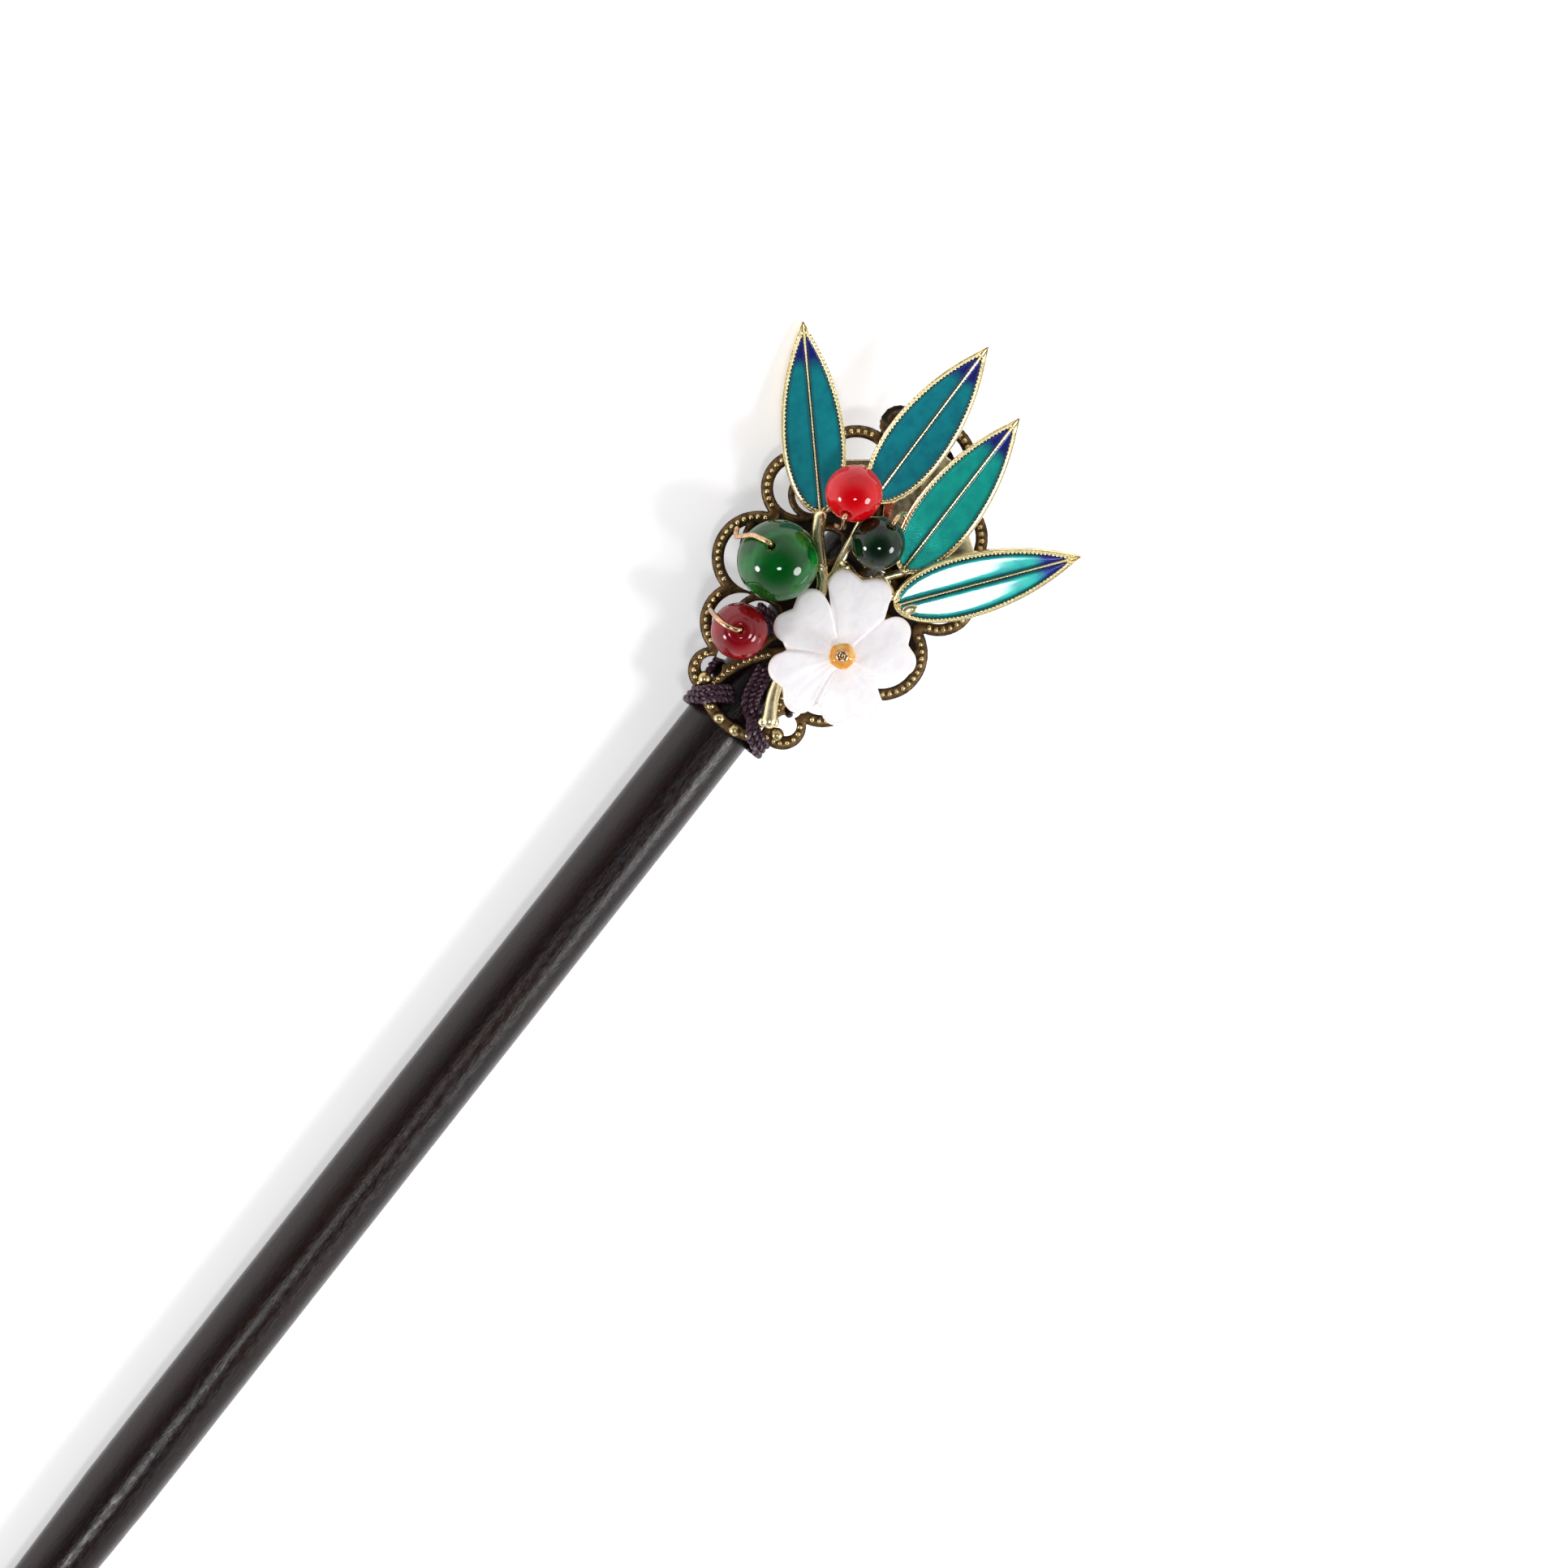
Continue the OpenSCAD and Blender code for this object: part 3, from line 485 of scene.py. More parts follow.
green_glass = glass_finish("green_glass", "#024a14", "#0d7a2b", 0.06, 0.16, stretch=(0.5, 1.4, 1.4))
red_glass_low = glass_finish("red_glass_low", "#7a0612", "#94101c", 0.0, 0.3, rough=0.1)
red_glass_high = glass_finish("red_glass_high", "#c8020f", "#d80612", 0.0, 0.3)
dark_glass = glass_finish("dark_glass", "#0a2211", "#184c22", 0.3, 0.3)
amber_glass = glass_finish("amber_glass", "#ea9c36", "#ffd07a", 0.1, 1.2, rough=0.1)

# %% [markdown]
# ## Copper wire and waxed thread
#
# The wires are pale gold-coloured copper, drawn, with fine scratches that break up its
# reflections. The thread is dark purple and waxed: each ply catches light in small sparks.

# %% Finish: copper wire and thread
copper, out = new_finish("copper_wire")
# Scratches 0.2 mm apart, drawn coarser than real ones so that they show
drawn = add(copper, "TexNoise", Vector=position_mm(copper), Scale=5.0, Detail=3.0, Roughness=0.6).outputs[0]
scratched = add(copper, "Bump", Height=drawn, Distance=0.02 * MM, Strength=0.4)
copper_shader = add(copper, "BsdfPrincipled", Metallic=1.0, Roughness=0.22, Normal=scratched.outputs[0],
                    Base_Color=toned(copper, drawn, 0.35, 0.7, colour("#e6c39c"), colour("#b98458")))
finish_with(copper, out, copper_shader, "#d9b48c")

thread, out = new_finish("thread")
# Fibres about 0.08 mm wide
fibres = add(thread, "TexNoise", Vector=position_mm(thread), Scale=12.0, Detail=2.0, Roughness=0.6).outputs[0]
fibrous = add(thread, "Bump", Height=fibres, Distance=0.04 * MM, Strength=0.7)
thread_shader = add(
    thread, "BsdfPrincipled", Roughness=0.3, Specular_IOR_Level=0.7, Sheen_Weight=0.1, Sheen_Roughness=0.4,
    Base_Color=toned(thread, fibres, 0.35, 0.7, colour("#1d0815"), colour("#4f1b3a")),
    Normal=fibrous.outputs[0])
finish_with(thread, out, thread_shader, "#3a1a28")

# %% [markdown]
# ## The stick
#
# A turned shaft: 7 mm thick, 180 mm long, a little narrower under the ornament and drawn out
# to a rounded tip. It could be a curve with a bevel, but a turned profile gives each radius
# where the lathe cut it. Sanding leaves it about a hundredth of a millimetre uneven.

# %% The stick
STICK = [  # along, radius
    [27.4, 0.05], [27.4, 1.5], [27.35, 2.3], [27.15, 2.85], [26.7, 3.16], [26.0, 3.28], [20, 3.34],
    [10, 3.42], [-0.8, 3.5], [-30, 3.5], [-60, 3.5], [-92, 3.49], [-98, 3.42], [-110, 3.16], [-122.6, 2.78],
    [-137, 2.24], [-150.2, 1.72], [-151.4, 1.5], [-152.2, 1.02], [-152.55, 0.45], [-152.6, 0.05],
]
random.seed(7)
STICK_SIDES, THINNEST_R, TRUE_HEAD, TRUE_TIP = 72, 0.02, 8, 12
profile = smooth_line([(a, r, 0) for a, r in STICK], 8)
uneven = [random.uniform(-0.02, 0.02) for _ in profile]
turns = [TAU * k / STICK_SIDES for k in range(STICK_SIDES)]
rows = []
for i, p in enumerate(profile):
    r = max(THINNEST_R, p[1] + (uneven[i] if TRUE_HEAD < i < len(profile) - TRUE_TIP else 0) * 0.4)
    rows.append([Vector((p[0], r * math.cos(t), r * math.sin(t))) for t in turns])
shape = Shape()
shape.sheet(rows, loop=True, capped=True)
wear("stick_turned", shape, wood, "stick")

# %% [markdown]
# ## Sizes shared by the pieces on the plate
#
# Heights are counted up from the stick's axis. The plate's back is 3.55 mm up, its ribs end
# at 4.4 mm and its beading at 4.8 mm. A point on the plate is given by its share of the
# plate's length and of half its width.

# %% Heights and places on the plate
PLATE_L, HALF_W, PLATE_SHIFT = 37.6, 12.45, 0.6
PLATE_UP, PLATE_T, HOLLOW = 3.55, 0.85, 0.35
PLATE_TOP = PLATE_UP + PLATE_T
SPRIG_UP, STEM_UP, FLOWER_UP = 4.85, 5.72, 6.49
RIB_W, RING_W = 1.2, 0.7


def on_plate(share_l, share_w, up):
    """A point over the plate, from shares of its length and half width."""
    return Vector((share_l * PLATE_L, PLATE_SHIFT + share_w * HALF_W, up))


print("the plate is", PLATE_L, "by", 2 * HALF_W, "mm")

# %% [markdown]
# ## The plate's outline and windows
#
# The outline is a row of arcs between junctions, the same on both sides. Each window is a
# circle, or the part of one circle outside another. Distances to all these edges, measured
# on a fine grid, give the plate its height: half-round ribs along every edge, and hollows
# between them.

# %% Outline and windows of the plate
JUNCTIONS = [  # along, side, bulge of the arc to the next
    [0.041, 0.337, 0.120], [0.145, 0.490, 0.112], [0.291, 0.707, 0.241], [0.519, 0.771, 0.229],
    [0.716, 0.771, 0.129], [0.862, 0.458, 0.169], [0.949, 0.289, 0],
]
RINGS = [[0.282, 0.305, 0.153], [0.4255, 0.498, 0.185], [0.626, 0.578, 0.145],
         [0.737, 0.321, 0.090], [0.546, 0.245, 0.110], [0.682, 0.190, 0.095]]
CRESCENTS = [[1, 0.282, 0.305, 0.209], [2, 0.479, 0.402, 0.450], [3, 0.626, 0.578, 0.201],
             [4, 0.737, 0.321, 0.169]]
HOLES = [[0.110, 0.373, 0.084], [0.153, 0.341, 0.064], [0.909, 0.383, 0.061]]
MIDDLE_HOLES = [[0.381, 0.075], [0.805, 0.105]]
BOTTOM_BULGE, TOP_BULGE = 0.124 * HALF_W, 0.153 * HALF_W
ARCH_FOOT, ARCH_TOP = (0.040 * PLATE_L, 0.249 * HALF_W), 0.234 * PLATE_L
BOTTOM_REACH = 0.088 * PLATE_L
print(len(RINGS + HOLES) * 2 + len(MIDDLE_HOLES), "round windows,", len(CRESCENTS) * 2, "crescents")


# %% The arcs of the outline
def arc_radius(chord, bulge):
    """The radius of an arc, from its chord and how far it bulges."""
    return (chord * chord / 4 + bulge * bulge) / (2 * bulge)


corner = [Vector((a * PLATE_L, s * HALF_W)) for a, s, _ in JUNCTIONS]
lobes = []
for i, (a, b) in enumerate(zip(corner, corner[1:])):
    bulge = JUNCTIONS[i][2] * HALF_W
    r = arc_radius((b - a).length, bulge)
    way = (b - a).normalized()
    lobes.append(((a + b) / 2 + Vector((-way.y, way.x)) * (bulge - r), r))
bottom_r = arc_radius(2 * corner[0].y, BOTTOM_BULGE)
bottom_at = Vector((corner[0].x - BOTTOM_BULGE + bottom_r, 0))
top_r = arc_radius(2 * corner[-1].y, TOP_BULGE)
top_at = Vector((corner[-1].x + TOP_BULGE - top_r, 0))
arch_rise, arch_half = ARCH_TOP - ARCH_FOOT[0], ARCH_FOOT[1]
arch_r = (arch_rise ** 2 + arch_half ** 2) / (2 * arch_half)
arch_at = Vector((ARCH_FOOT[0], arch_half - arch_r))
print("lobe radii in mm:", [round(r, 2) for middle, r in lobes])


# %% The outline as a row of points
def arc_line(middle, radius, start, end, pitch=0.05):
    """Points on an arc from the bearing of one point to that of another."""
    a0 = math.atan2(start[1] - middle[1], start[0] - middle[0])
    a1 = math.atan2(end[1] - middle[1], end[0] - middle[0])
    swing = (a1 - a0 + math.pi) % TAU - math.pi
    count = max(2, round(abs(swing) * radius / pitch))
    bearings = [a0 + swing * k / count for k in range(count + 1)]
    return [Vector((middle[0] + radius * math.cos(a), middle[1] + radius * math.sin(a))) for a in bearings]


right_half = arc_line(bottom_at, bottom_r, (corner[0].x - BOTTOM_BULGE, 0), corner[0])
for (middle, r), a, b in zip(lobes, corner, corner[1:]):
    right_half += arc_line(middle, r, a, b)
right_half += arc_line(top_at, top_r, corner[-1], (top_at.x + top_r, 0))
outline = right_half + [Vector((p.x, -p.y)) for p in reversed(right_half)]
print("outline of the plate:", len(outline), "points")

# %% [markdown]
# Now the grid. `gap` is negative where there is metal, and the surface between metal and air
# is cut exactly where it is zero. The side column is the distance from the plate's middle,
# so one half of the table serves both sides.

# %% A fine grid over the plate
PITCH, MARGIN = 0.13, 0.3
along_axis = np.arange(-MARGIN, PLATE_L + MARGIN, PITCH)
side_axis = np.arange(-HALF_W - MARGIN, HALF_W + MARGIN, PITCH)
A, S = np.meshgrid(along_axis, side_axis, indexing="ij")
M = np.abs(S)

edge_tree = kdtree.KDTree(len(outline))
for i, p in enumerate(outline):
    edge_tree.insert((p.x, p.y, 0), i)
edge_tree.balance()
edge_far = np.array([edge_tree.find((a, s, 0))[2] for a, s in zip(A.ravel(), S.ravel())])
edge_far = edge_far.reshape(A.shape)
print("grid", A.shape, "and up to", round(float(edge_far.max()), 1), "mm from the edge")


# %% Where there is metal
def round_gap(middle, radius):
    """Distance outside a circle, negative inside it, on the grid's one side."""
    return np.hypot(A - middle[0], M - middle[1]) - radius


def shares(row):
    """A point of the plate in millimetres, from shares of its length and half width."""
    return row[0] * PLATE_L, row[1] * HALF_W


inside = np.zeros(A.shape, bool)
for middle, r in lobes:
    inside |= round_gap(middle, r) < 0
inside |= round_gap(top_at, top_r) < 0
inside |= (round_gap(bottom_at, bottom_r) < 0) & (A < BOTTOM_REACH)
between = np.interp(A, [p.x for p in corner], [p.y for p in corner])
inside |= (M < between) & (A > corner[0].x) & (A < corner[-1].x)
gap = np.where(inside, -edge_far, edge_far)

open_circles = [(shares(row), row[2] * HALF_W) for row in RINGS + HOLES]
open_circles += [((row[0] * PLATE_L, 0), row[1] * HALF_W) for row in MIDDLE_HOLES]
arch_gap = np.maximum(round_gap(bottom_at, bottom_r - RIB_W), round_gap(arch_at, arch_r))
windows = [round_gap(middle, r) for middle, r in open_circles] + [arch_gap]
for row in CRESCENTS:
    middle, r = lobes[row[0]]
    windows.append(np.maximum(round_gap(middle, r - RIB_W), -round_gap(shares(row[1:]), row[3] * HALF_W)))
windows.append(np.maximum(round_gap(top_at, top_r - RIB_W),
                          -round_gap((top_at.x - RIB_W / 2, 0), top_r - 1.42 * RIB_W)))
for window in windows:
    gap = np.maximum(gap, -window)
print("metal on", int((gap < 0).sum()), "of", gap.size, "points")

# %% Height of the metal
ROUND_DEEP, ROUND_WIDE = 0.12, 0.16  # the top is rounded over this deep and this wide at each edge
swell = np.zeros_like(A)
ribs = [(edge_far, RIB_W), (arch_gap, RIB_W)] + [(w, RING_W) for w in windows[:-2]]
for far, width in ribs:
    off = np.clip(np.abs(far - width / 2) / (width / 2), 0, 1)
    swell = np.maximum(swell, np.sqrt(1 - off ** 2) * (0.75 + 0.25 * (width > 1)))
height = PLATE_TOP - HOLLOW + HOLLOW * swell
height -= ROUND_DEEP * np.clip(1 + gap / ROUND_WIDE, 0, 1) ** 2
print("heights", round(float(height.min()), 2), "to", round(float(height.max()), 2), "mm above the axis")

# %% [markdown]
# Each small square of the grid becomes a face where it is all metal, and a cut face where an
# edge crosses it. The same outline closes the flat back, and walls join the two.

# %% The plate's surface
plate = Shape()
known = {}


def plate_point(key):
    """The index of a point on the plate's top; its twin on the back comes right after it."""
    if key not in known:
        (i, k), (j, m) = key if isinstance(key[0], tuple) else (key, key)
        f = 0 if (i, k) == (j, m) else gap[i, k] / (gap[i, k] - gap[j, m])
        a, s = A[i, k] + f * (A[j, m] - A[i, k]), S[i, k] + f * (S[j, m] - S[i, k])
        up = height[i, k] + f * (height[j, m] - height[i, k])
        known[key] = len(plate.points)
        plate.points += [Vector((a, s + PLATE_SHIFT, up)), Vector((a, s + PLATE_SHIFT, PLATE_UP))]
        plate.relief += [0.05 + 0.5 * float(swell[i, k]), 0.2]
    return known[key]


for i in range(A.shape[0] - 1):
    for k in range(A.shape[1] - 1):
        ring = [(i, k), (i + 1, k), (i + 1, k + 1), (i, k + 1)]
        metal = [gap[q] < 0 for q in ring]
        if not any(metal):
            continue
        face, crossing = [], []
        for n in range(4):
            q, after = ring[n], ring[(n + 1) % 4]
            if metal[n]:
                face.append(plate_point(q))
            if metal[n] != metal[(n + 1) % 4]:
                face.append(plate_point((min(q, after), max(q, after))))
                crossing.append((len(face) - 1, metal[n]))
        plate.faces.append(tuple(face))
        plate.faces.append(tuple(p + 1 for p in reversed(face)))
        for n, leaving in crossing:
            if leaving:
                a, b = face[n], face[(n + 1) % len(face)]
                plate.faces.append((b, a, a + 1, b + 1))
print(len(plate.faces), "faces before the beading")

# %% [markdown]
# The beading is a row of small round grains along each rib, with two sizes of larger balls by
# the lower edge. On the real plate they are cast with it and worn, so each differs a little.

# %% The plate's beading
GRAIN_D, GRAIN_PITCH, GRAIN_RISE, BALL_D = 0.60, 0.70, 0.06, 1.4
BIG_BALLS = ((0.077, 0.93), (0.188, 0.62), (0.255, 0.45), (0.31, 0.45))  # share of half width, size


def beading(line, diameter=GRAIN_D, pitch=GRAIN_PITCH):
    """Grains at an even pitch along a line, on both sides of the plate."""
    run, wanted = 0.0, pitch / 2
    for a, b in zip(line, line[1:]):
        step = (b - a).length
        while wanted <= run + step:
            p = a.lerp(b, (wanted - run) / step)
            for mirror in (-1, 1):
                size = diameter * random.uniform(0.92, 1.06)
                plate.ball(Vector((p.x, PLATE_SHIFT + mirror * p.y, PLATE_TOP + GRAIN_RISE)), size / 2,
                           height=1.1, relief=(0.45, 1.0))
            wanted += pitch
        run += step


for (middle, r), a, b in zip(lobes, corner, corner[1:]):
    beading(arc_line(middle, r - RIB_W * 0.52, a, b))
beading(arc_line(top_at, top_r - RIB_W * 0.52, corner[-1], (top_at.x + top_r, 0.25)))
arch_line = arc_line(arch_at, arch_r + RIB_W * 0.45, (arch_at.x, 1e6), (ARCH_TOP, 0))
beading(arch_line[len(arch_line) // 7:-len(arch_line) // 16], diameter=0.5, pitch=0.62)
rim = bottom_r - RIB_W / 2
balls = [(0.076 * PLATE_L, 0.361 * HALF_W, 1)]
for share, size in BIG_BALLS:
    turn = math.asin(share * HALF_W / rim)
    balls.append((bottom_at.x - rim * math.cos(turn), rim * math.sin(turn), size))
for along, side, size in balls:
    for mirror in (-1, 1):
        plate.ball(Vector((along, PLATE_SHIFT + mirror * side, PLATE_TOP)), size * BALL_D / 2,
                   sides=20, rings=12, relief=(0.4, 1.0))
wear("plate_cast", plate, brass, "filigree", crease=60)

# %% [markdown]
# ## The leaves
#
# A leaf's outline is half an ellipse at its base and two long arcs. Its cross-section is drawn
# once, from the middle of the vein out to the rim, and swept along the leaf. A line of fine
# beads, the milgrain, runs along each rim and vein. All distances inside a leaf are counted
# from its base along it, to its left, and up.

# %% Leaf outlines and places
LEAF_L, LEAF_W, LEAF_T = 18.9, 6.3, 1.1
RIM_W, VEIN_W, CELL_DEPTH, ENAMEL_DROP = 0.5, 0.3, 0.6, 0.1
WIDEST_X = 0.37 * LEAF_L
LEAVES = [  # along, side, direction, lift, roll
    [0.597, -0.442, -43.3, 0, 0],
    [0.706, -0.180, -1.3, 0, 0],
    [0.610, 0.333, -0.5, 0.16, 3],
    [0.530, 0.446, 37.1, 0.6, 12],
]


def on_leaf(row, x, y, z):
    """A point of a leaf, as a point of the ornament."""
    turn, roll = math.radians(row[2]), math.radians(row[4])
    across, up = y * math.cos(roll) - z * math.sin(roll), y * math.sin(roll) + z * math.cos(roll)
    base = on_plate(row[0], row[1], SPRIG_UP + row[3] * LEAF_T)
    return base + Vector((x * math.cos(turn) + across * math.sin(turn),
                          x * math.sin(turn) - across * math.cos(turn), up))


def edge_at(x, inset=0.0):
    """Half the leaf's width at x, measured inside the rim by an inset."""
    if x < WIDEST_X:
        across = (WIDEST_X - x) / (WIDEST_X - inset)
        return (LEAF_W / 2 - inset) * math.sqrt(max(0, 1 - across * across))
    run = LEAF_L - WIDEST_X
    r = (run * run + (LEAF_W / 2) ** 2) / LEAF_W
    return max(0, math.sqrt(max(0, (r - inset) ** 2 - (x - WIDEST_X) ** 2)) - (r - LEAF_W / 2))


STATIONS = [LEAF_L * (1 - math.cos(math.pi * k / 110)) / 2 for k in range(111)]
cell_end = max(x for x in STATIONS if edge_at(x, RIM_W) > VEIN_W / 2 + 0.05)
print("each cell runs from", RIM_W, "to", round(cell_end, 2), "mm of the leaf")

# %% [markdown]
# A leaf could be cut from a block, but a section swept along the leaf keeps the rim an even
# half millimetre wide all the way round, as the bent strip on the real one is.

# %% Leaf frames
RIM_PROFILE = [  # share of the rim's width from inside to outside, drop below the top
    (0.0, 0.20), (0.08, 0.06), (0.25, 0.0), (0.5, 0.05), (0.62, 0.10), (0.75, 0.05), (0.88, 0.03),
    (0.97, 0.12), (1.0, 0.26), (1.0, 0.7), (0.97, 1.05), (0.85, 1.1),
]
sprig = Shape()


def leaf_section(row, x):
    """One cross-section of a leaf frame, and its relief."""
    outer = max(edge_at(x), 0.012)
    wall = edge_at(x, RIM_W)
    open_cell = RIM_W < x < cell_end and wall > VEIN_W / 2 + 0.05
    vein = min(VEIN_W / 2, outer * 0.4)
    wall = wall if open_cell else vein + 0.01
    floor = LEAF_T - CELL_DEPTH if open_cell else LEAF_T - 0.16
    half = [(0.0, LEAF_T + 0.02, 0.9), (vein * 0.7, LEAF_T - 0.03, 0.8), (vein, LEAF_T - 0.14, 0.4)]
    half += [(vein + 0.005, floor, 0.1), (wall - 0.005 if open_cell else wall, floor, 0.1)]
    for share, drop in RIM_PROFILE:
        up = LEAF_T - drop
        shade = 1.0 if drop < 0.08 else 0.6 if drop < 0.2 else 0.3
        half.append((wall + share * (outer - wall), up, shade))
    ring = [(y, z, s) for y, z, s in half] + [(-y, z, s) for y, z, s in reversed(half[1:])]
    return [on_leaf(row, x, y, z) for y, z, s in ring], [s for y, z, s in ring]


for row in LEAVES:
    rows, shades = [], []
    for x in STATIONS:
        points, shade = leaf_section(row, min(max(x, 0.004), LEAF_L - 0.004))
        rows.append(points)
        shades.extend(shade)
    sprig.sheet(rows, shades, loop=True, capped=True)
print(len(LEAVES), "leaf frames,", len(sprig.faces), "faces")


# %% Milgrain along rims and veins
def milgrain(row, path, diameter, pitch, rise):
    """Fine beads at an even pitch along a path on a leaf's top."""
    run, wanted = 0.0, 0.0
    for (x0, y0), (x1, y1) in zip(path, path[1:]):
        step = math.hypot(x1 - x0, y1 - y0)
        while step and wanted <= run + step:
            f = (wanted - run) / step
            size = diameter * random.uniform(0.85, 1.1)
            middle = on_leaf(row, x0 + f * (x1 - x0), y0 + f * (y1 - y0), LEAF_T + rise)
            sprig.ball(middle, size / 2, sides=7, rings=4, relief=(0.5, 1.0))
            wanted += pitch
        run += step


rim_path = [(x, edge_at(x, RIM_W * 0.78)) for x in STATIONS if 0.4 < x < LEAF_L - 0.9]
vein_path = [(x, 0.0) for x in STATIONS if 0.5 < x < LEAF_L - 0.9]
for row in LEAVES:
    milgrain(row, rim_path, 0.27, 0.40, -0.03)
    milgrain(row, [(x, -y) for x, y in rim_path], 0.27, 0.40, -0.03)
    milgrain(row, vein_path, 0.19, 0.34, 0.0)
print("sprig with milgrain:", len(sprig.faces), "faces")

# %% Webs that join the leaves, lower than their rims
WEBS = [  # corners, as shares of the plate's length and half width
    [[0.604, -0.418], [0.700, -0.733], [0.840, -0.200], [0.706, -0.180]],
    [[0.649, 0.150], [0.917, 0.200], [0.917, 0.000], [0.720, -0.100], [0.649, 0.040]],
    [[0.620, 0.400], [0.620, 0.560], [0.757, 0.740], [0.790, 0.590], [0.780, 0.400]],
]
for web in WEBS:
    middle = sum((Vector(p) for p in web), Vector((0, 0))) / len(web)
    rows = []
    for shrink, up in ((0.9, 0.0), (1.0, 0.05), (1.0, 0.6), (0.96, 0.7), (0.5, 0.72), (0.02, 0.70)):
        ring = []
        for n in range(len(web)):
            a, b = Vector(web[n]), Vector(web[(n + 1) % len(web)])
            ring += [on_plate(*(middle + (a.lerp(b, f) - middle) * shrink), SPRIG_UP + up)
                     for f in (0, 0.25, 0.5, 0.75)]
        rows.append(ring)
    shades = [0.4 + 0.1 * (i % 3) for i in range(len(rows) * len(rows[0]))]
    sprig.sheet(rows, shades, loop=True, capped=True)

# A foot fills the room between the last leaf, which is lifted and rolled, and the webs' level
foot_x = [0.3 + 6.1 * k / 12 for k in range(13)]
foot = [(x, edge_at(x, 0.3)) for x in foot_x] + [(x, -edge_at(x, 0.3)) for x in reversed(foot_x)]
tops = [on_leaf(LEAVES[3], x, y, 0.15) for x, y in foot]
sprig.sheet([[Vector((p.x, p.y, SPRIG_UP)) for p in tops], tops], 0.1, loop=True, capped=True)
print(len(WEBS), "webs and a foot")

# %% [markdown]
# The stem and its branches are smooth wires, thicker where they join, that run under the
# flower. The stem ends below it in a small cleft foot.

# %% Stem and branches
STEM_D, BRANCH_D, STEM_END_D = 1.24, 0.84, 1.7


def cane(points, thickness, ends=(1.15, 1.15)):
    """A stem through points given as shares of the plate, a little thicker at its ends."""
    line = smooth_line([on_plate(*p, STEM_UP) if len(p) == 2 else on_plate(*p) for p in points], 10)
    radii = []
    for i in range(len(line)):
        f = i / (len(line) - 1)
        swell_at = (ends[0] - 1) * max(0, 1 - f * 6) + (ends[1] - 1) * max(0, 1 - (1 - f) * 6)
        radii.append(thickness / 2 * (1 + swell_at))
    sprig.tube(line, radii, sides=16, relief=0.8)
    return line


cane([[0.591, -0.426], [0.549, -0.350], [0.488, -0.173], [0.4375, -0.056], [0.30, 0.036],
      [0.165, 0.133], [0.092, 0.246, STEM_UP + 0.14]], STEM_D, ends=(1.16, 1.3))
cane([[0.484, -0.056], [0.588, -0.118], [0.699, -0.179]], BRANCH_D)
cane([[0.45, -0.075], [0.527, -0.040], [0.530, 0.150], [0.609, 0.353]], BRANCH_D)
cane([[0.550, 0.200], [0.567, 0.240], [0.545, 0.400]], BRANCH_D)
for p in ([0.488, -0.173], [0.527, -0.040], [0.591, -0.426]):
    sprig.ball(on_plate(*p, STEM_UP), STEM_D * 0.57, sides=16, rings=10, relief=0.8)
stem_foot = on_plate(0.088, 0.250, STEM_UP + 0.15)
for side in (-1, 1):
    middle = stem_foot + Vector((0.33, 0.43, 0)) * side
    sprig.ball(middle, STEM_END_D * 0.31, sides=16, rings=10, relief=0.8)
print("sprig with its stem:", len(sprig.faces), "faces")

# %% A flat drop of metal at the last leaf's base
DROP_X, DROP_Y, DROP_LONG, DROP_WIDE, DROP_HIGH, DROP_SUNK = 1.45, -0.78, 0.85, 0.52, 0.2, 0.12
turns = [TAU * k / 24 for k in range(24)]
rows = []
for level in range(6):
    a = math.pi / 2 * level / 5
    up = LEAF_T - DROP_SUNK + DROP_HIGH * math.sin(a)
    rows.append([on_leaf(LEAVES[3], DROP_X + DROP_LONG * math.cos(a) * math.cos(t),
                         DROP_Y + DROP_WIDE * math.cos(a) * math.sin(t), up) for t in turns])
sprig.sheet(rows, 0.9, loop=True, capped=True)
wear("sprig_gilt", sprig, gilt, "sprig", crease=45)

# %% [markdown]
# ## The enamel
#
# Each leaf has two cells of enamel. The glass fills its cell to just below the rim, climbs a
# little at the walls, and bulges slightly along the leaf. A flat sheet would do for its
# colour, but the climb at the walls is what catches the light.


# %% The enamel
GAP, CLIMB, CLIMB_WIDE, BELLY, LOW = 0.03, 0.07, 0.12, 0.15, ENAMEL_DROP + 0.06


def cell_of_enamel(leaf, side):
    """The closed glass body of one cell, with its share along the leaf and its way from the wall."""
    row = LEAVES[leaf]
    shape, rows, along, edge = Shape(), [], [], []
    for x in STATIONS:
        inner, outer = VEIN_W / 2 + GAP, edge_at(x, RIM_W + GAP)
        if not RIM_W + 0.03 < x < cell_end or outer <= VEIN_W / 2 + 0.08:
            continue
        ring = []
        for k in range(15):
            f = (1 - math.cos(math.pi * k / 14)) / 2
            y = inner + (outer - inner) * f
            wall = min(y - inner, outer - y, x - RIM_W, (cell_end - x) * 0.5)
            climb = CLIMB * math.exp(-wall / CLIMB_WIDE)
            belly = BELLY * (1 - ((x / LEAF_L - 0.45) / 0.55) ** 2)
            ring.append(on_leaf(row, x, side * y, LEAF_T - LOW + climb + belly))
            along.append(x / LEAF_L)
            edge.append(wall)
        for y in (outer, inner):
            ring.append(on_leaf(row, x, side * y, LEAF_T - CELL_DEPTH + GAP))
            along.append(x / LEAF_L)
            edge.append(0.0)
        rows.append(ring)
    shape.sheet(rows, 0.5, loop=True, capped=True)
    return shape, along, edge


